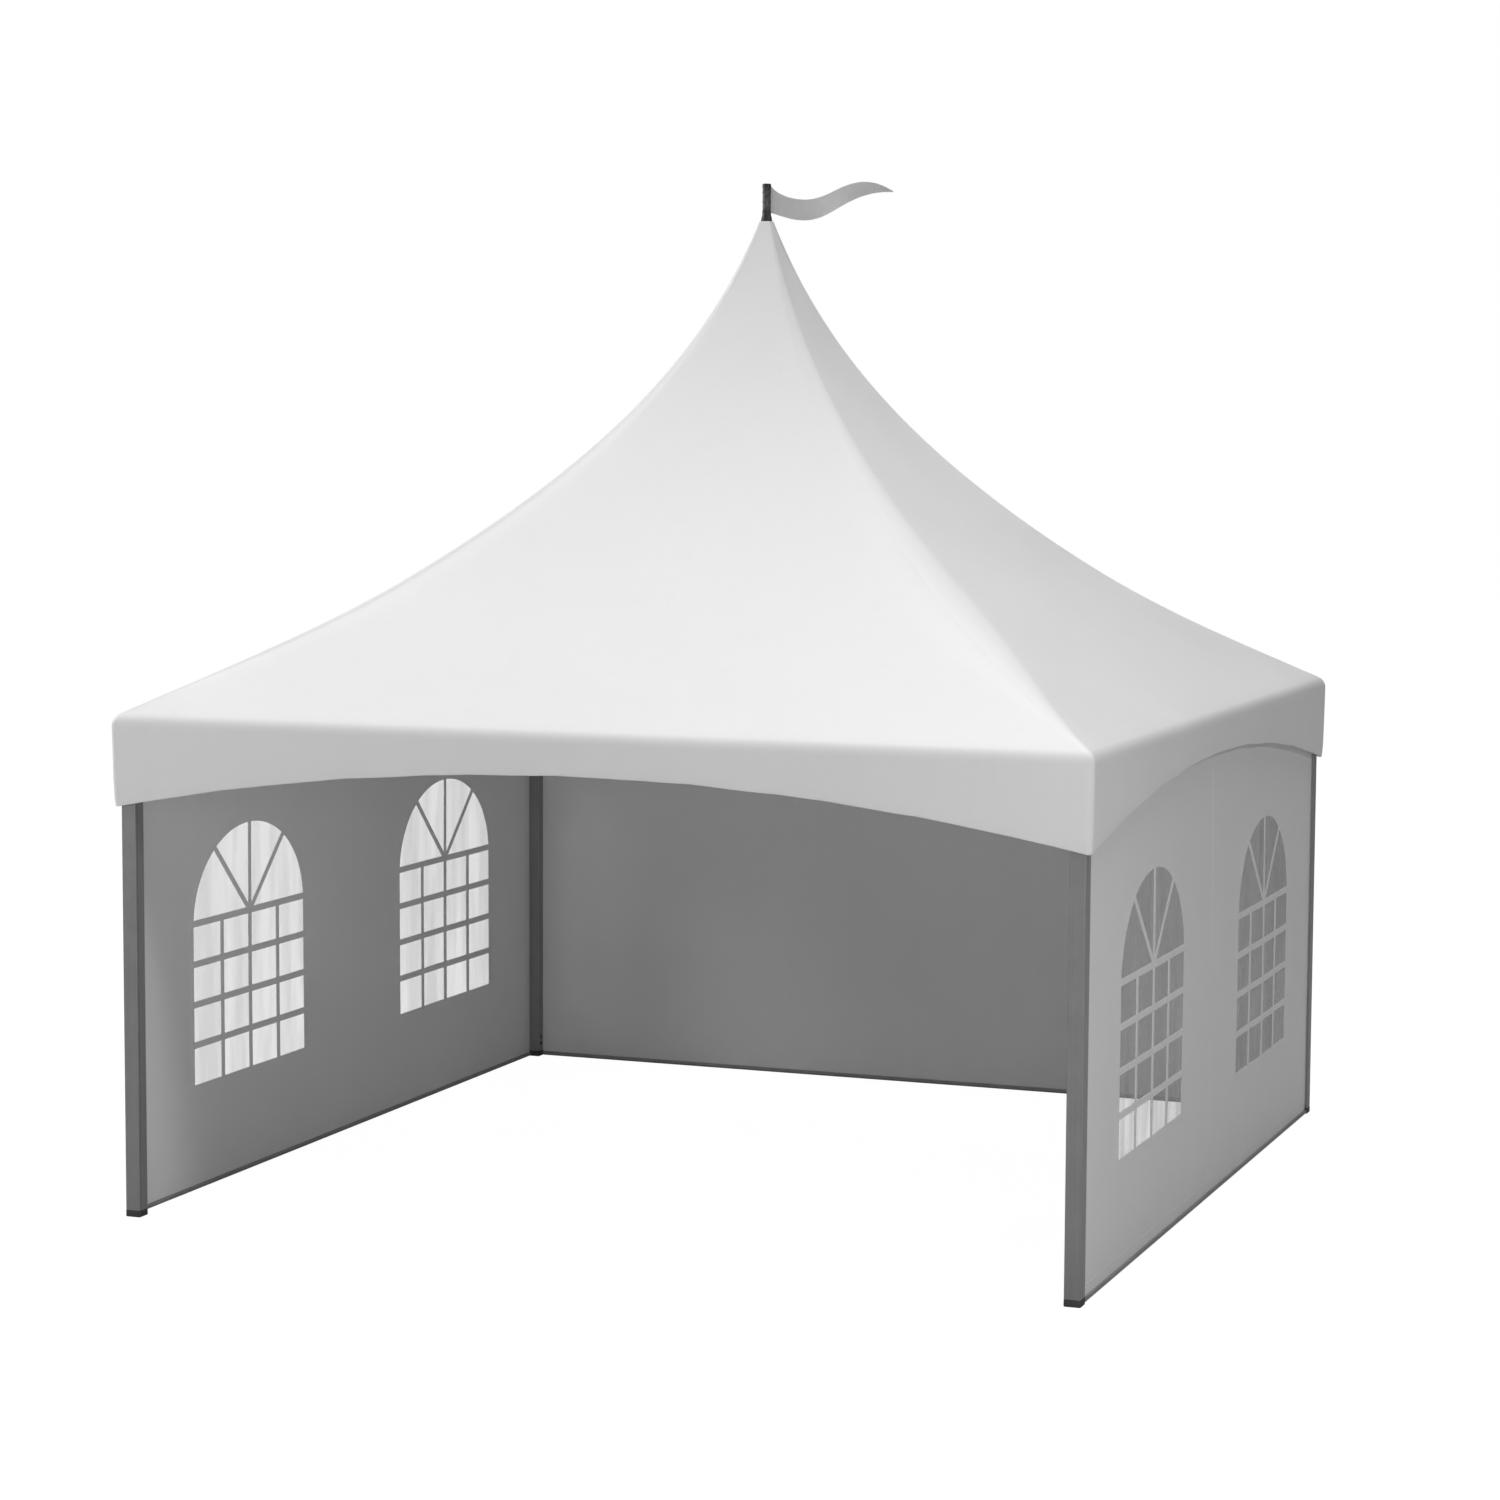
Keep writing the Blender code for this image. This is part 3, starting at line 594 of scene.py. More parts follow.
def meridian(run):
    # One line down the cover. Run is -1 to 0 on the tip's lip, to 1 on the roof, to 2 on the rolled
    # edge, to 3 on the valance, to 4 round the hem and to 5 up the inside of the hem.
    tip, radius = cover["tipHalf"], cover["rollRadius"]
    lip = cover["lipHalf"] + (tip - cover["lipHalf"]) * np.clip(run + 1, 0, 1)
    roof = tip + (rollHalf - tip) * np.clip(run, 0, 1) ** cover["rowCrowding"]
    angle = slopeAngle + (math.pi / 2 - slopeAngle) * np.clip(run - 1, 0, 1)
    roll = coverReach - radius * (1 - np.sin(angle))
    fold = math.pi * np.clip(run - 3, 0, 1)
    hem = coverReach - cover["hemRadius"] * (1 - np.cos(fold))
    half = np.where(run < 0, lip, np.where(run < 1, roof, np.where(run < 3, roll, hem)))
    z = np.where(run < 1, roofHeight(np.maximum(half, tip)), rollZ + radius * np.cos(angle))
    drop = np.clip(run - 2, 0, 1)
    half = half + cover["slack"] * smoothStep(half, *cover["slackSpan"])
    half = half - cover["lean"] * (0.2 * drop + 0.8 * drop ** 10)
    return half, z, drop, fold, np.clip(run - 4, 0, 1)


def cornerWrinkles(across, half, drop):
    # Rays out of each eave corner over the roof: sines of the angle round the corner, which die away
    # with distance and along the hip itself.
    along, inwards = coverReach - np.abs(across), coverReach + cover["slack"] - half
    reach = np.hypot(along, inwards) + 1e-6
    angle = np.arctan2(inwards, along)
    ray = np.sin(cover["wrinkleRays"] * angle + 0.8) * np.exp(-reach / cover["wrinkleReach"])
    ray = ray * np.minimum(reach / cover["wrinkleStart"], 1)
    offHip = 1 - np.exp(-(((along - inwards) / cover["calmHip"]) ** 2))
    offEave = np.minimum(inwards / cover["calmEave"], 1)
    return cover["wrinkle"] * ray * offHip * (drop == 0) * offEave * (inwards > 0)


def coverPoints(run, walk):
    # Points of the front quarter of the cover, for arrays of run and walk of the same shape.
    half, z, drop, fold, up = meridian(run)
    across = sectionPoint(half, walk)[0]
    toCorner = 1 - np.clip(np.abs(across) / coverReach, 0, 1) ** 6
    half = half + cover["flutter"] * drop ** 2 * toCorner * waves(across, cover["flutterLengths"], 1.3)
    across, y = sectionPoint(half, walk)
    hem = hemHeight(across) + cover["hemWave"] * toCorner * waves(across, cover["hemWaveLengths"], 2.1)
    z = np.where(drop > 0, rollZ + (hem + cover["hemRadius"] - rollZ) * drop, z)
    z = z - cover["hemRadius"] * np.sin(fold) + cover["hemFold"] * up + cornerWrinkles(across, half, drop)
    fromCorner = coverReach - np.abs(across)
    pull = cover["cornerPull"] * np.exp(-((fromCorner / cover["cornerSpan"]) ** 2)) * (1 - drop) ** 0.7
    pull = pull * smoothStep(half, *cover["pullSpan"])
    return np.stack([across + np.sign(across) * pull, y - pull, z], -1)


def coverUv(points):
    # The cloth's own metres: along the side, and down the line in the middle of it.
    middle = points[:, points.shape[1] // 2]
    down = np.concatenate([[0], np.cumsum(np.linalg.norm(np.diff(middle, axis=0), axis=1))])
    return np.stack([points[..., 0], np.broadcast_to(-down[:, None], points.shape[:2])], -1)


def makeCover():
    counts = (3, cover["roofRows"], cover["rollRows"], cover["valanceRows"], 6, 4)
    runs = stops(*((k - 1, k, count) for k, count in enumerate(counts)))
    shares = np.linspace(-1, 1, cover["flatColumns"] + 2 * cover["hipColumns"] + 1)
    run, share = np.meshgrid(runs, shares, indexing="ij")
    points = coverPoints(run, shareWalk(meridian(run)[0], share))
    patches = [patch(turned(points, k), coverUv(points) + (6.0 * k, 0)) for k in range(4)]
    names = [f"{kind}_{side}" for kind in ("roof_gore", "valance") for side in sides]
    return makePiece("roofCover", patches, coverCloth, "roof_pvc", names, cloth=cover["cloth"])


def offsetOut(points, distance):
    # Moves a patch along its own normals, worked out from its neighbouring points.
    normal = np.cross(np.gradient(points, axis=0), np.gradient(points, axis=1))
    return points + distance * normal / np.linalg.norm(normal, axis=-1, keepdims=True)


def nearHip(run, distance):
    # Points at a distance either way from the middle of the front right hip, along the section.
    half = meridian(run)[0]
    points = coverPoints(run, halfWalk(half) - np.abs(distance))
    mirrored = np.stack([-points[..., 1], -points[..., 0], points[..., 2]], -1)
    return np.where((distance > 0)[..., None], mirrored, points)


coverTapes = {"thickness": 0.0006, "lift": 0.0002, "hipHalf": 0.022, "hemRun": 0.040}


def makeCoverTapes():
    # Welded overlaps: along the hips and along the hem, where they make the cord's pocket.
    runs = stops((0.05, 1, 90), (1, 2, 7), (2, 2.985, 12))
    run, distance = np.meshgrid(runs, np.linspace(-1, 1, 15) * coverTapes["hipHalf"], indexing="ij")
    hip = offsetOut(nearHip(run, distance), coverTapes["lift"])
    shares = np.linspace(-1, 1, 161)
    top = 3 - coverTapes["hemRun"] / (rollZ - hemHeight(shares * coverReach))
    run = top + (2.995 - top) * np.linspace(0, 1, 9)[:, None]
    hem = offsetOut(coverPoints(run, shares * halfWalk(meridian(run)[0])), coverTapes["lift"] * 0.5)
    patches = [patch(turned(points, k), surfaceUv(points)) for k in range(4) for points in (hip, hem)]
    looks = {"cloth": coverTapes["thickness"], "offset": 1.0}
    return makePiece("coverWeldedTapes", patches, weldedCloth, "roof_pvc", **looks)


roofCover = makeCover()
roofTapes = makeCoverTapes()
print("roof cover made")


# The side walls. Each is made on the front side's plane and then turned to its own side.
wall = {
    "cloth": 0.0010,
    "halfWidth": 2.4275,  # into the posts' grooves
    "top": 2.468,
    "bottom": barHigh.z + 0.0002,
    "footTop": postLow.z,
    "belly": 0.006,  # outward bulge in the middle
    "folds": 0.0045,
    "foldLengths": (1.31, 0.77, 0.46),
    "foldLean": 0.1,  # the folds wander sideways by this much
    "footCut": 0.0038,  # the share of its width that the cloth is cut back next to the feet
    "beadRadius": 0.0037,
    "beadReach": 2.38,  # of the beam's bead, either way
    "beadTop": 2.40,
}
wallBands = {
    "hem": 0.055,
    "seam": 0.030,
    "seams": {"right": (0.0,), "back": (-0.80, 0.80), "left": (0.0,)},
    "top": 2.44,
    "lift": 0.0005,
    "cloth": 0.0010,
}
windowNames = {"right": ("front", "back"), "back": (), "left": ("back", "front")}  # from -X before the turn
filmMargin = 0.020  # the CAD pane overlaps its opening by this much
window = {
    "offset": (paneLow.y + paneHigh.y) / 2,
    "half": (paneHigh.y - paneLow.y) / 2 - filmMargin,
    "sill": paneLow.z + filmMargin,
    "spring": 1.390,
    "crown": paneHigh.z - filmMargin,
    "transom": 1.402,
    "rows": 4,
    "columns": 4,
    "barWidth": 0.036,
    "barDepth": 0.0022,
    "borderWidth": 0.034,
    "borderDepth": 0.0011,
    "borderPrint": 5.6,  # metres of the weld's print round the opening
    "film": 0.0008,
    "ripple": 0.0012,
    "rippleLengths": (0.19, 0.11, 0.07),
    "fanAngles": (45, 90, 135),
}


def wallPhase(quarters):
    # Each side's folds start elsewhere.
    return 0.9 + 1.7 * quarters


def wallDrape(x, z, phase):
    # How far the cloth lies outside its plane: a belly, and upright folds that grow downwards.
    low, high = wall["bottom"], wall["top"] - 0.05
    edge = np.clip(1 - (np.abs(x) / (wall["halfWidth"] - 0.015)) ** 4, 0, 1)
    share = np.clip((z - low) / (high - low), 0, 1)
    belly = np.sin(math.pi * share) * wall["belly"] * np.cos(math.pi * x / (2 * wall["halfWidth"]))
    hang = np.clip(share * 18, 0, 1) * (1 - share) ** 0.7
    lean = wall["foldLean"] * np.sin(2.2 * z + phase)
    folds = wall["folds"] * hang * waves(x + lean, wall["foldLengths"], phase)
    return edge * (belly + folds)


def wallPoints(x, z, out, quarters):
    # Next to the feet the cloth is cut back from the posts' grooves.
    x = x * (1 - wall["footCut"] * (1 - smoothStep(z, wall["footTop"] + 0.002, wall["footTop"] + 0.03)))
    y = -(wallPlane + out + wallDrape(x, z, wallPhase(quarters)))
    return turned(np.stack(np.broadcast_arrays(x, y, z), -1), quarters)


def wallPatch(x, z, out, quarters, centre=0.0):
    # Cloth that follows the wall, with UV in metres.
    return patch(wallPoints(x + centre, z, out, quarters), np.stack([x, z], -1))


def archOutline(share, margin):
    # Once round a window, anticlockwise from the sill's left end: sill, side, half ellipse, side.
    leg, half = share * 8, window["half"] + margin
    rise, drop = window["crown"] - window["spring"] + margin, window["spring"] - window["sill"] + margin
    angle = np.clip((leg - 3) / 4, 0, 1) * math.pi
    x = np.where(leg < 2, half * (leg - 1), half * np.cos(angle))
    down = np.interp(leg, (0, 2, 3, 7, 8), (1, 1, 0, 0, 1))
    return x, window["spring"] + rise * np.sin(angle) - drop * down


def wallCell(centre, left, right, quarters):
    # The cloth between a window's edge and the edge of its half of the wall, ring by ring. The half
    # wall's corners come at the shares of archOutline's corners.
    shares = np.linspace(0, 1, 241)
    rings = np.linspace(0, 1, 31)[:, None] ** 1.15
    low, middle, high = wall["bottom"], window["spring"], wall["top"]
    outerX = np.interp(shares * 8, (0, 2, 4, 6, 8), (left, right, right, left, left))
    outerZ = np.interp(shares * 8, (0, 2, 3, 4, 6, 7, 8), (low, low, middle, high, high, middle, low))
    innerX, innerZ = archOutline(shares, 0.0)
    x = (innerX + centre) * (1 - rings) + outerX * rings
    z = innerZ * (1 - rings) + outerZ * rings
    return wallPatch(x, z, 0, quarters)


def makeWallEdges(side, quarters):
    # The keder beads in the two posts and in the beam.
    patches = []
    bead = circle(wall["beadRadius"], 10)
    z = np.linspace(wall["bottom"] + 0.03, wall["beadTop"], 12)
    for sign in (-1, 1):
        path = wallPoints(sign * (wall["halfWidth"] + 0.0005), z, 0, quarters)
        patches.append(sweep(path, bead, up=(1.0, 1.0, 0.0)))
    x = np.linspace(-wall["beadReach"], wall["beadReach"], 25)
    patches.append(sweep(wallPoints(x, np.full_like(x, beamLow.z + 0.008), 0, quarters), bead))
    return makePiece(f"{side}WallKeder", patches, wallCloth, "wall_pvc", sharp=50)


def makeWallBands(side, quarters):
    # Welded doublings on both faces: the pocket of the bottom hem and the seams between the widths of cloth.
    reach, half = wall["halfWidth"] - 0.034, wallBands["seam"] / 2
    hemTop = wall["bottom"] + wallBands["hem"]
    places = [(-reach, reach, wall["bottom"] + 0.002, hemTop, 121, 4)]
    places += [(x - half, x + half, hemTop, wallBands["top"], 4, 61) for x in wallBands["seams"][side]]
    patches = []
    for left, right, bottom, top, across, down in places:
        x, z = np.meshgrid(np.linspace(left, right, across), np.linspace(top, bottom, down))
        for out in (wallBands["lift"], -wall["cloth"] - wallBands["lift"]):
            patches.append(wallPatch(x, z, out, quarters))
    looks = {"cloth": wallBands["cloth"], "offset": 0.0}
    return makePiece(f"{side}WallSeams", patches, weldedWallCloth, "wall_pvc", **looks)


def borderRing(centre, quarters):
    # A welded frame round the opening, a thin raised strip on both faces of the wall.
    shares = np.linspace(0, 1, 241)
    margins = np.array([-0.004, 0.0, 0.004, 0.012, 0.024, 0.031, window["borderWidth"]])[:, None]
    depths = window["borderDepth"] * np.array([0.75, 0.95, 1.0, 1.0, 1.0, 0.9, 0.25])[:, None]
    x, z = archOutline(shares, margins)
    outer = wallPoints(x + centre, z, depths, quarters)
    inner = wallPoints(x + centre, z, -depths - wall["cloth"], quarters)
    loop = np.concatenate([outer, inner[::-1], outer[:1]])
    uv = [np.broadcast_to(row, loop.shape[:2]) for row in (shares * window["borderPrint"], z[:1])]
    return patch(loop, np.stack(uv, -1))


def flattened(wave):
    # Flatter crests turn a circle into a rounded square.
    return np.sign(wave) * np.abs(wave) ** 0.45


def barStrip(start, end, width, depth, centre, quarters):
    # One window bar: a flat strip with rounded edges that lies on both faces of the film.
    length = math.dist(start, end)
    along = np.linspace(0, 1, max(4, int(length / 0.03)))[:, None]
    direction = np.subtract(end, start) / length
    turn = np.linspace(0, math.tau, 16, endpoint=False)
    across = width / 2 * flattened(np.cos(turn))
    out = depth * flattened(np.sin(turn)) - wall["cloth"] / 2
    x = start[0] + (end[0] - start[0]) * along + direction[1] * across
    z = start[1] + (end[1] - start[1]) * along - direction[0] * across
    return tube(wallPoints(x + centre, z, out, quarters), metres=True)


def windowBars(centre, quarters):
    # Upright and level bars under the transom, and a fan of three over it.
    half, sill, transom, spring = (window[key] for key in ("half", "sill", "transom", "spring"))
    rise, past = window["crown"] - spring, 0.008
    lines = []  # each with its start, its end, and its shares of the full width and depth
    for k in range(1, window["columns"]):
        x = -half + 2 * half * k / window["columns"]
        lines.append(((x, sill - past), (x, transom), 1.0, 1.12))
    for k in range(1, window["rows"] + 1):
        z = sill + (transom - sill) * k / window["rows"]
        lines.append(((-half - past, z), (half + past, z), 1.0, 1.0 if k < window["rows"] else 1.2))
    for angle in (math.radians(degrees) for degrees in window["fanAngles"]):
        distance = np.linspace(0.2, 0.9, 141)
        x, z = distance * math.cos(angle), transom + distance * math.sin(angle)
        last = distance[(x / half) ** 2 + ((z - spring) / rise) ** 2 < 1].max() + 0.012
        lines.append(((0, transom), (last * math.cos(angle), transom + last * math.sin(angle)), 0.9, 1.06))
    return [
        barStrip(start, end, window["barWidth"] * wide, window["barDepth"] * deep, centre, quarters)
        for start, end, wide, deep in lines
    ]


def filmPatch(centre, quarters):
    # The film behind the bars: columns from sill to arch, with small upright ripples.
    half, rise = window["half"] + filmMargin, window["crown"] - window["spring"] + filmMargin
    x = half * np.sin(np.linspace(-1, 1, 65) * math.pi / 2)
    low = window["sill"] - filmMargin
    high = window["spring"] + rise * np.sqrt(np.clip(1 - (x / half) ** 2, 0, 1))
    z = high + (low - high) * np.linspace(0, 1, 49)[:, None]
    x = np.broadcast_to(x, z.shape)
    calm = np.sin(math.pi * np.clip((x / half + 1) / 2, 0, 1)) * np.sin(math.pi * (z - low) / (high - low))
    ripple = waves(x + 0.03 * np.sin(5 * z), window["rippleLengths"], wallPhase(quarters))
    return wallPatch(x, z, window["ripple"] * calm * ripple - wall["cloth"] / 2, quarters, centre)


def makeWall(side):
    # A wall with its beads and welds, and on the right and the left with two windows.
    quarters = sides.index(side)
    reach, offset = wall["halfWidth"], window["offset"]
    if windowNames[side]:
        cloth = [wallCell(-offset, -reach, 0.0, quarters), wallCell(offset, 0.0, reach, quarters)]
    else:
        x, z = np.meshgrid(np.linspace(-reach, reach, 161), np.linspace(wall["top"], wall["bottom"], 61))
        cloth = [wallPatch(x, z, 0, quarters)]
    piece = makePiece(f"{side}WallCloth", cloth, wallCloth, "wall_pvc", [f"{side}_wall"], cloth=wall["cloth"])
    extras = [makeWallEdges(side, quarters), makeWallBands(side, quarters)]
    for centre, place in zip((-offset, offset), windowNames[side]):
        for part, patches, sharp in (
            ("Border", [borderRing(centre, quarters)], 50),
            ("Bars", windowBars(centre, quarters), 60),
        ):
            name = f"{side}WallWindow{part}_{place}"
            extras.append(makePiece(name, patches, weldedWallCloth, "wall_pvc", sharp=sharp))
        name, film = f"{side}WallWindowFilm_{place}", [filmPatch(centre, quarters)]
        panes = [f"{side}_wall_window_{place}"]
        extras.append(makePiece(name, film, windowFilms[side], "clear_film", panes, cloth=window["film"]))
    return piece, extras


walls = {side: makeWall(side) for side in ("right", "back", "left")}
print("walls and windows made")


# The staff's turning sleeve and the pennant
staff = {
    "radius": 0.0235,
    "capHeight": 0.022,
    "bore": 0.0126,
    "skirtRadius": 0.031,  # the skirt sheds water over the cover's tip
    "skirtGap": 0.003,
}


def makeStaff():
    # The sleeve with its cap, and a skirt at its foot: one profile turned about the axis.
    radius, low, high, bore = staff["radius"], sleeveLow.z, sleeveHigh.z, staff["bore"]
    skirt, rim = staff["skirtRadius"], float(roofHeight(cover["tipHalf"])) + staff["skirtGap"]
    capLow = high - staff["capHeight"]
    profile = [
        (0, high), (radius - 0.007, high), (radius - 0.002, high - 0.0015), (radius, high - 0.006),
        (radius, capLow), (radius - 0.0015, capLow - 0.0015), (radius - 0.0015, low + 0.022),
        (radius, low + 0.020), (radius, low + 0.008), (radius + 0.0030, low - 0.002),
        (skirt - 0.001, rim + 0.003), (skirt, rim + 0.001), (skirt - 0.001, rim),
        (skirt - 0.003, rim + 0.0005), (radius - 0.003, low - 0.001), (bore, low),
        (bore, high - 0.008), (0, high - 0.008),
    ]
    looks = {"sharp": 35, "body": flagBody}
    makePiece("staffSleeve", [lathe(profile, 48)], staffPaint, "dark_steel", ["flag_sleeve"], **looks)


pennant = {
    "length": 0.680,
    "start": staff["radius"] + 0.0003,
    "level": 5.191,
    "halfHoist": 0.053,
    "halfTip": 0.002,
    "topFlare": 0.028,  # the upper corner is drawn up to the staff's top
    "lowFlare": 0.004,
    "flareRun": 0.045,
    "taper": 4.3,
    "rise": 0.020,
    "wave": 0.051,
    "waveTurns": 0.87,
    "tipDrop": 0.014,
    "sway": 0.040,
    "swayTurns": 1.1,
    "flap": 0.004,
    "flapTurns": 2.6,
    "cloth": 0.0009,
    "hem": 0.009,
    "clips": (-0.84, 0.0, 0.84),  # shares of the way from the middle of the hoist
}


def pennantHalf(along):
    return pennant["halfTip"] + pennant["halfHoist"] * (1 - along ** pennant["taper"])


def pennantPoints(along, across):
    # A streaming tail: a sine wave in height and another sideways, with a tip that drops a little.
    x = pennant["start"] + pennant["length"] * along
    wave = pennant["wave"] * np.sin(math.tau * pennant["waveTurns"] * along)
    middle = pennant["level"] + pennant["rise"] * along - wave - pennant["tipDrop"] * along ** 5
    flare = np.where(across > 0, pennant["topFlare"], pennant["lowFlare"])
    half = pennantHalf(along) + flare * np.exp(-along / pennant["flareRun"]) * np.abs(across)
    sway = pennant["sway"] * np.sin(math.tau * pennant["swayTurns"] * along) * along ** 0.6
    flap = pennant["flap"] * along * np.sin(math.tau * pennant["flapTurns"] * along + 1.5 * across) * across
    return np.stack(np.broadcast_arrays(x, sway + flap, middle + half * across), -1)


def makePennant():
    # The cloth, and a doubled hem along its upper and lower edges.
    along, across = np.meshgrid(np.linspace(0, 1, 73), np.linspace(1, -1, 15))
    uv = np.stack([along * pennant["length"], across * pennant["halfHoist"]], -1)
    looks = {"material": pennantCloth, "slot": "pennant_cloth", "offset": 0.0, "body": flagBody}
    sheet = [patch(pennantPoints(along, across), uv)]
    cloth = makePiece("pennantCloth", sheet, replaced=["pennant"], cloth=pennant["cloth"], **looks)
    inner = 1 - pennant["hem"] / np.maximum(pennantHalf(along[:3]), pennant["hem"])
    share = np.linspace(0, 1, 3)[:, None]
    edges = (1 + (inner - 1) * share, -inner - (1 - inner) * share)
    hems = [patch(pennantPoints(along[:3], edge), uv[:3]) for edge in edges]
    return cloth, makePiece("pennantHems", hems, cloth=pennant["cloth"] * 2.4, **looks)


def makeClips():
    # The rings that hold the pennant's hoist on the turning sleeve.
    turn = np.linspace(0, math.tau, 9)
    radius = staff["radius"] + 0.0006 + 0.0016 * np.cos(turn)
    heights = [pennant["level"] + (pennant["halfHoist"] + 0.008) * share for share in pennant["clips"]]
    rings = [lathe(np.stack([radius, z + 0.0022 * np.sin(turn)], -1), 32) for z in heights]
    makePiece("staffRings", rings, staffPaint, "dark_steel", sharp=40, body=flagBody)


makeStaff()
pennantPiece, pennantHems = makePennant()
makeClips()
print("staff and pennant made")


# Bolts, true to scale, on the inner faces of the posts and beams where the spigots are
bolt = {"across": 0.0085, "height": 0.0064, "washer": 0.0125, "washerDepth": 0.002, "spacing": (0.045, 0.090)}


def boltPatches(position, outward):
    # A hexagon head on a washer, its axis along outward.
    place = Matrix.Translation(position) @ Vector(outward).to_track_quat("Z", "Y").to_matrix().to_4x4()
    r, h, w, t = (bolt[key] for key in ("across", "height", "washer", "washerDepth"))
    washer = [(0, t), (w - 0.0006, t), (w, t - 0.0006), (w, -0.0002), (0, -0.0002)]
    head = [(0, t + h), (r * 0.82, t + h), (r, t + h * 0.86), (r, t - 0.0002), (0, t - 0.0002)]
    return [lathe(washer, 20, place), lathe(head, 6, place)]


def makeBolts():
    postMiddle = (postHigh.x + postLow.x) / 2 - 0.010
    beamMiddle = (beamLow.z + beamHigh.z) / 2 + 0.006
    ends = [(postLow.z, 1), (beamLow.z, -1)]
    spots = [(postMiddle, postLow.x, z + way * gap) for z, way in ends for gap in bolt["spacing"]]
    places = [postLow.x - gap for gap in bolt["spacing"]]
    spots += [(way * x, -beamHigh.y, beamMiddle) for way in (-1, 1) for x in places]
    patches = []
    for k in range(4):
        outward = turned(np.array((0.0, -1.0, 0.0)), k)
        for spot in spots:
            patches += boltPatches(turned(np.array(spot), k), outward)
    makePiece("frameBolts", patches, zinc, "galvanised_steel", sharp=30)


makeBolts()


# The cross cables, made along X from the mast foot's pin and then laid out to each corner
cable = {
    "hubReach": 0.085,
    "hubHeight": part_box("mast_foot")[0].z + 0.060,
    "cornerInset": 0.040,  # the corner's pin stands this far in from the corner of the posts
    "cornerHeight": beamLow.z + 0.033,
    "forkLength": 0.045,
    "forkHalf": 0.0138,
    "slotHalf": 0.0053,
    "cheek": 0.0077,
    "pinRadius": 0.0055,
    "pinHead": 0.0018,
    "splitPin": 0.0062,
    "ropeRadius": 0.0040,
    "ropePitch": 0.052,
    "ropeEnds": (0.110, 0.515),  # from the hub's pin and from the corner's pin
    "socketEnds": (0.120, 0.520),
    "socketRadius": 0.009,
    "turnbuckle": (0.450, 0.230),  # from the corner's pin
    "bossLength": 0.030,
    "bossRadius": 0.0118,
    "sideBar": {"half": 0.0045, "thickness": 0.0042, "out": 0.0112},
    "rodRadius": 0.0066,
    "threadPitch": 0.0009,
    "threadDepth": 0.0005,
}


def ropePatch(start, end, place):
    # Six strands laid round a core: a ring with six round lobes that turns as it goes along X.
    x = np.linspace(start, end, int((end - start) / cable["ropePitch"] * 12))[:, None]
    turn = np.linspace(0, math.tau, 30, endpoint=False)
    radius = cable["ropeRadius"] * (0.78 + 0.22 * np.abs(np.cos(3 * turn)) ** 0.7)
    twisted = turn + math.tau * x / cable["ropePitch"]
    return tube(np.stack([x + 0 * turn, radius * np.cos(twisted), -radius * np.sin(twisted)], -1), place)


def collar(low, high, radius, cut, depth):
    # The profile of a closed cylinder with bevelled rims.
    start = [(0, low), (radius - cut, low), (radius, low + depth)]
    return start + [(radius, high - depth), (radius - cut, high), (0, high)]


def beside(place, distance):
    return place @ Matrix.Translation((0, distance, 0))


def forkPatches(pinX, inward, place):
    # A clevis: two cheeks with round ends, the block behind them, and a pin with a head and a split pin.
    slot, cheek, half, length = (cable[key] for key in ("slotHalf", "cheek", "forkHalf", "forkLength"))
    back = pinX + inward * (length - 0.006)
    outline = stadium(*sorted((pinX, back)), half)
    made = [plate(outline, cheek, beside(place, way * (slot + cheek / 2))) for way in (-1, 1)]
    low, high = sorted((back - inward * 0.002, pinX + inward * (length + 0.010)))
    block = [(low, -half), (high, -half * 0.9), (high, half * 0.9), (low, half)]
    made.append(plate(block, 2 * slot + 0.002, place))
    reach, r = slot + cheek, cable["pinRadius"]
    head = r + cable["pinHead"]
    pin = [
        (0, reach + 0.0038), (r, reach + 0.0038), (head, reach + 0.0030), (head, reach + 0.0002),
        (r, reach + 0.0002), (r, -reach - 0.0035), (r - 0.0008, -reach - 0.0038), (0, -reach - 0.0038),
    ]
    atPin = place @ Matrix.Translation((pinX, 0, 0))
    made.append(lathe(pin, 20, atPin @ Matrix.Rotation(-math.pi / 2, 4, "X")))
    angle = np.linspace(-0.9 * math.pi, 0.9 * math.pi, 13)
    x, z = cable["splitPin"] * 0.9 * np.cos(angle), cable["splitPin"] * np.sin(angle)
    made.append(sweep(placed(np.stack([x, np.full(13, -reach - 0.0022), z], -1), atPin), circle(0.0009, 6)))
    return made


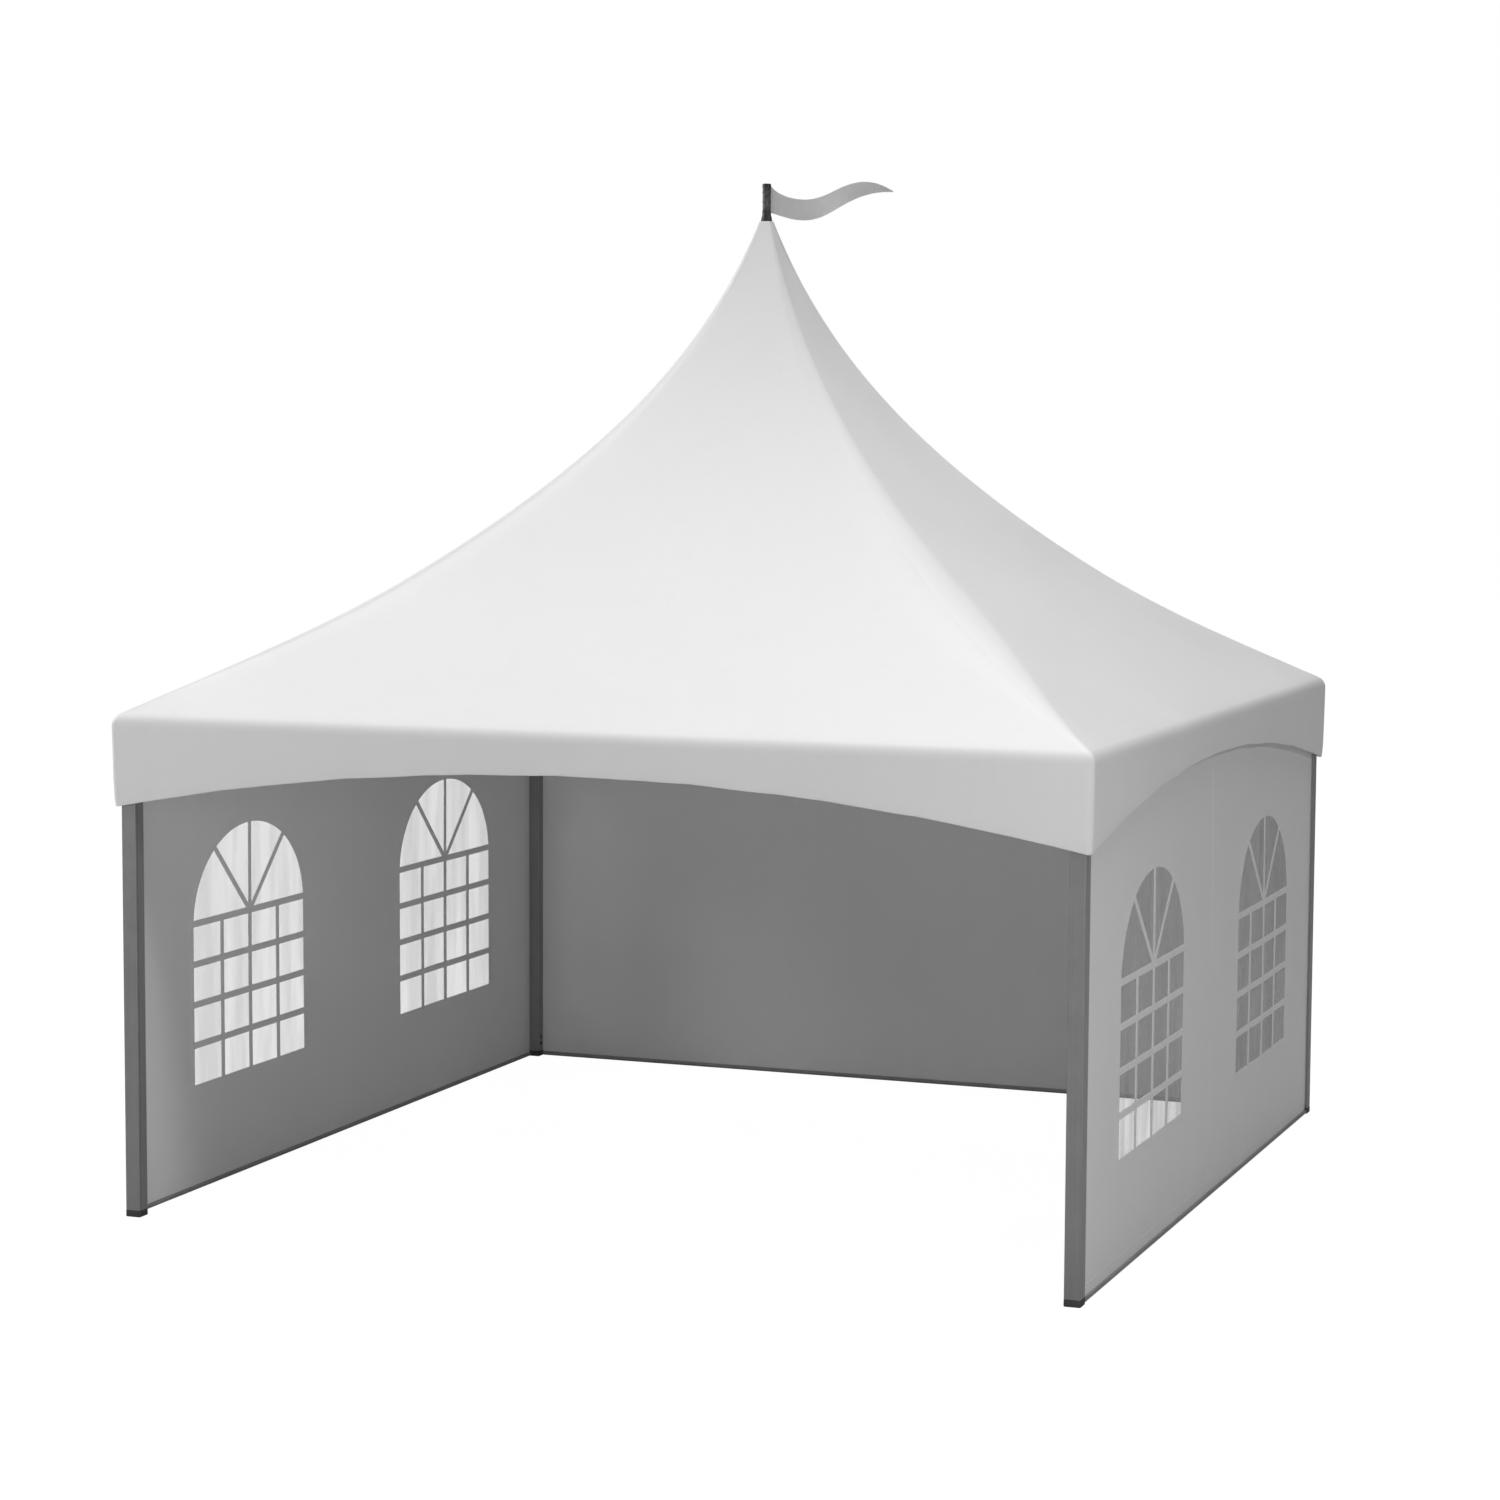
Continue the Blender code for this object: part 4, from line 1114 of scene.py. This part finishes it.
def cablePatches(number):
    reach = postLow.x * math.sqrt(2) - cable["cornerInset"]
    run, rise = reach - cable["hubReach"], cable["cornerHeight"] - cable["hubHeight"]
    length = math.hypot(run, rise)
    place = Matrix.Rotation(math.pi / 4 + number * math.pi / 2, 4, "Z")
    place = place @ Matrix.Translation((cable["hubReach"], 0, cable["hubHeight"]))
    place = place @ Matrix.Rotation(-math.atan2(rise, run), 4, "Y")
    fork, socket = cable["forkLength"], cable["socketRadius"]
    boss, rod = cable["bossRadius"], cable["rodRadius"]
    first, last = (length - distance for distance in cable["turnbuckle"])
    made = forkPatches(0.0, 1.0, place) + forkPatches(length, -1.0, place)
    made.append(ropePatch(cable["ropeEnds"][0], length - cable["ropeEnds"][1], place))
    # Swaged sockets, pressed in the middle and drawn in at their ends
    along = np.abs(np.linspace(-1, 1, 15))
    swell = 1 - 0.10 * (along < 0.3) - 0.22 * (along > 0.95)
    near, far = cable["socketEnds"]
    for start, end in ((fork, near), (length - far, first + 0.010)):
        profile = [(0, start), *zip(socket * swell, np.linspace(start, end, 15)), (0, end)]
        made.append(turnedAlong(profile, 24, place))
    # The turnbuckle: two bosses joined by two side bars, with a threaded rod from each end and a nut
    for low in (first, last - cable["bossLength"]):
        made.append(turnedAlong(collar(low, low + cable["bossLength"], boss, 0.0018, 0.002), 24, place))
    left, right, bar = first + 0.004, last - 0.004, cable["sideBar"]
    outline = [(left, -bar["half"]), (right, -bar["half"]), (right, bar["half"]), (left, bar["half"])]
    for way in (-1, 1):
        made.append(plate(outline, bar["thickness"], beside(place, way * bar["out"]), 0.0010))
    for low, high in ((first + 0.028, first + 0.085), (last - 0.080, length - fork - 0.004)):
        steps = np.arange(low, high, cable["threadPitch"])
        depth = np.where(steps < last + 0.06, cable["threadDepth"] * (np.arange(len(steps)) % 2), 0)
        made.append(turnedAlong([(0, low), *zip(rod - depth, steps), (0, high)], 18, place))
    made.append(turnedAlong(collar(last + 0.001, last + 0.009, boss, 0.0006, 0.001), 6, place))
    return made


for number, corner in enumerate(corners):
    replaced = [f"cross_cable_{corner}"]
    makePiece(f"crossCable_{corner}", cablePatches(number), zinc, "galvanised_steel", replaced, sharp=35)
print("bolts and cables made")


# Turned and rounded pieces of the frame, over the plainer solids
def makeMast():
    # A tube's section as a closed ring, with its outer rims rounded.
    low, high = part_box("mast")
    outer, inner, rim = high.x, high.x - 0.003, 0.0006
    profile = [
        (outer - rim, high.z), (outer, high.z - rim), (outer, low.z + rim), (outer - rim, low.z),
        (inner, low.z), (inner, high.z), (outer - rim, high.z),
    ]
    makePiece("mastTube", [lathe(profile, 56)], mastFinish, "aluminium_profile", ["mast"], sharp=40)


def makeBottomBars():
    # Round tubes in the hems, with a plastic plug in each end.
    radius, reach, middle = (barHigh.z - barLow.z) / 2, barHigh.x, (barHigh.z + barLow.z) / 2
    profile = [
        (0, reach - 0.0004), (radius - 0.0035, reach - 0.0004), (radius - 0.0030, reach - 0.001),
        (radius - 0.0015, reach - 0.0012), (radius, reach - 0.003),
    ]
    profile += [(r, -x) for r, x in reversed(profile)]
    for side in walls:
        turn = Matrix.Rotation(sides.index(side) * math.pi / 2, 4, "Z")
        shell = turnedAlong(profile, 28, turn @ Matrix.Translation((0, -wallPlane, middle)))
        replaced = [f"{side}_wall_bottom_bar"]
        makePiece(f"{side}WallBottomTube", [shell], beamFinish[side], "aluminium_profile", replaced, sharp=35)


shoe = {"corner": 0.006, "bevel": 0.0035, "rim": 0.003, "gap": 0.0003}


def makeFeet():
    # A cast shoe under each post: rounded corners, a bevelled top edge and a slightly smaller sole.
    # A level is a rounded square: the direction clipped to a smaller square, plus a circle at its corner.
    centre, half = (footLow.x + footHigh.x) / 2, (footHigh.x - footLow.x) / 2
    turn = np.linspace(0, math.tau, 48, endpoint=False) + math.pi / 4
    ring = np.stack([np.cos(turn), np.sin(turn)], -1)
    top, rim = postLow.z - shoe["gap"], shoe["rim"]
    levels = [(half, top), (shoe["bevel"], top), (0.0012, top - 0.0008), (0.0, top - rim)]  # inset and height
    levels += [(0.0, rim), (0.0016, 0.0), (half, 0.0)]
    rows = []
    for inset, z in levels:
        corner = min(shoe["corner"], half - inset)
        level = np.clip(ring * 4, -1, 1) * (half - inset - corner) + corner * ring + centre
        rows.append(np.concatenate([level, np.full((len(turn), 1), z)], 1))
    for number, corner in enumerate(corners):
        shell = patch(turned(np.stack(rows), number), wrap=True)
        makePiece(f"postShoe_{corner}", [shell], shoeFinish, "dark_steel", [f"post_foot_{corner}"], sharp=35)


makeMast()
makeBottomBars()
makeFeet()
print("mast, bars and feet made")


# Finishes of the frame's own nodes
def finishNode(name, material):
    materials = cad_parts[name].data.materials
    materials.clear()
    materials.append(material)


for corner in corners:
    finishNode(f"post_{corner}", postFinish)
    finishNode(f"corner_bracket_{corner}", zinc)
for side in sides:
    finishNode(f"eave_beam_{side}", beamFinish[side])
finishNode("mast_foot", zinc)
finishNode("mast_head", zinc)
print("frame finished")


# The area of a window opening, worked out for each wall
for side, (cloth, extras) in walls.items():
    opening = 2 * window["half"] * (window["spring"] - window["sill"])
    opening += math.pi / 2 * window["half"] * (window["crown"] - window["spring"])


# Stage: floor, backdrop and light
stage = {
    "floorHalf": 60.0,
    "floorGlow": 0.975,
    "floorShade": 0.10,
    "floorBounce": 0.55,
    "skyGlow": 1.0,
    "skyLight": 0.02,
}


def emptyTree(owner):
    owner.use_nodes = True
    owner.node_tree.nodes.clear()
    return owner.node_tree


def whiteToCamera(outputKind, tree, plain, seen):
    # Pure pale to the camera, and a plain grey source or floor to every other ray.
    path = tree.nodes.new("ShaderNodeLightPath").outputs["Is Camera Ray"]
    mix = addNode("ShaderNodeMixShader", in0=path, in1=plain.outputs[0], in2=seen.outputs[0])
    addNode(outputKind, Surface=mix.outputs[0])


def makeFloor():
    size = stage["floorHalf"]
    corner = np.array([[[-size, size, 0.0], [size, size, 0.0]], [[-size, -size, 0.0], [size, -size, 0.0]]])
    floor = buildPiece("floor", [patch(corner)])
    material = bpy.data.materials.new("paleFloor")
    tree = emptyTree(material)
    glow = addNode("ShaderNodeEmission", tree=tree, Strength=stage["floorGlow"])
    shade = addNode("ShaderNodeBsdfDiffuse", tree=tree, Color=gray(stage["floorShade"]))
    seen = addNode("ShaderNodeAddShader", in0=glow.outputs[0], in1=shade.outputs[0])
    bounce = addNode("ShaderNodeBsdfDiffuse", tree=tree, Color=gray(stage["floorBounce"]))
    whiteToCamera("ShaderNodeOutputMaterial", tree, bounce, seen)
    floor.data.materials.append(material)


def makeSky():
    world = bpy.data.worlds.new("studio")
    bpy.context.scene.world = world
    tree = emptyTree(world)
    light = addNode("ShaderNodeBackground", tree=tree, Color=gray(1.0), Strength=stage["skyLight"])
    seen = addNode("ShaderNodeBackground", tree=tree, Color=gray(1.0), Strength=stage["skyGlow"])
    whiteToCamera("ShaderNodeOutputWorld", tree, light, seen)


lamps = {
    "leftWindow": {"place": (-12.0, -3.0, 8.0), "aim": (0.0, 0.0, 2.0), "size": 7.0, "power": 650.0},
    "frontFill": {"place": (3.0, -13.0, 2.0), "aim": (0.0, 0.0, 1.5), "size": 5.0, "power": 152.0},
    "topSoft": {"place": (0.0, 0.0, 14.0), "aim": (0.0, 0.0, 0.0), "size": 12.0, "power": 690.0},
    "rightCornerFill": {"place": (6.5, -7.5, 3.5), "aim": (1.5, -1.5, 2.0), "size": 3.0, "power": 92.0},
    "roomSoft": {"place": (0.3, -0.6, 3.3), "aim": (-0.1, 0.0, 0.0), "size": 1.5, "power": 5.5},
    "cornerTop": {"place": (3.6, -4.2, 6.0), "aim": (2.0, -2.2, 2.6), "size": 1.5, "power": 14.0},
    "leftCornerFill": {"place": (-5.2, -7.2, 3.0), "aim": (-2.2, -2.4, 2.3), "size": 1.5, "power": 43.0},
    "backHigh": {"towards": (0.0, 0.6, 0.8), "spread": 0.9, "power": 1.00},
    "leftHigh": {"towards": (-0.7, -0.1, 0.7), "spread": 0.9, "power": 0.44},
    "rightHigh": {"towards": (0.82, -0.15, 0.57), "spread": 0.15, "power": 0.41},
}


def makeLamps():
    # Round softboxes have a place and an aim; far ones have only the way towards them.
    for name, lamp in lamps.items():
        far = "towards" in lamp
        data = bpy.data.lights.new(name, "SUN" if far else "AREA")
        data.energy = lamp["power"]
        if far:
            data.angle = lamp["spread"]
            direction = -Vector(lamp["towards"])
        else:
            data.shape = "DISK"
            data.size = lamp["size"]
            direction = Vector(lamp["aim"]) - Vector(lamp["place"])
        light = bpy.data.objects.new(name, data)
        light.location = lamp.get("place", (0.0, 0.0, 20.0))
        light.rotation_mode = "QUATERNION"
        light.rotation_quaternion = direction.to_track_quat("-Z", "Y")
        light.visible_camera = False
        bpy.context.scene.collection.objects.link(light)


# Camera, worked out from feet, corners and peak of the photograph at 1500 by 1500
view = {
    "place": (6.776, -18.053, 4.076),
    "yaw": 20.794,
    "pitch": 5.401,
    "roll": 0.292,
    "focal": 3578.37,
    "photoWidth": 1500.0,
    "sensor": 36.0,
}


def makeCamera():
    yaw, pitch, roll = (math.radians(view[key]) for key in ("yaw", "pitch", "roll"))
    forward = Vector((-math.sin(yaw) * math.cos(pitch), math.cos(yaw) * math.cos(pitch), -math.sin(pitch)))
    level = Vector((math.cos(yaw), math.sin(yaw), 0.0))
    right = math.cos(roll) * level + math.sin(roll) * level.cross(forward)
    up = right.cross(forward)
    data = bpy.data.cameras.new("photoCamera")
    data.sensor_width = view["sensor"]
    data.lens = view["focal"] / view["photoWidth"] * view["sensor"]
    data.clip_end = 200.0
    camera = bpy.data.objects.new("photoCamera", data)
    turn = Matrix((right, up, -forward)).transposed().to_4x4()
    camera.matrix_world = Matrix.Translation(view["place"]) @ turn
    bpy.context.scene.collection.objects.link(camera)
    bpy.context.scene.camera = camera


makeFloor()
makeSky()
makeLamps()
makeCamera()
bpy.context.scene.view_settings.view_transform = "Standard"
print("stage, light and camera made")
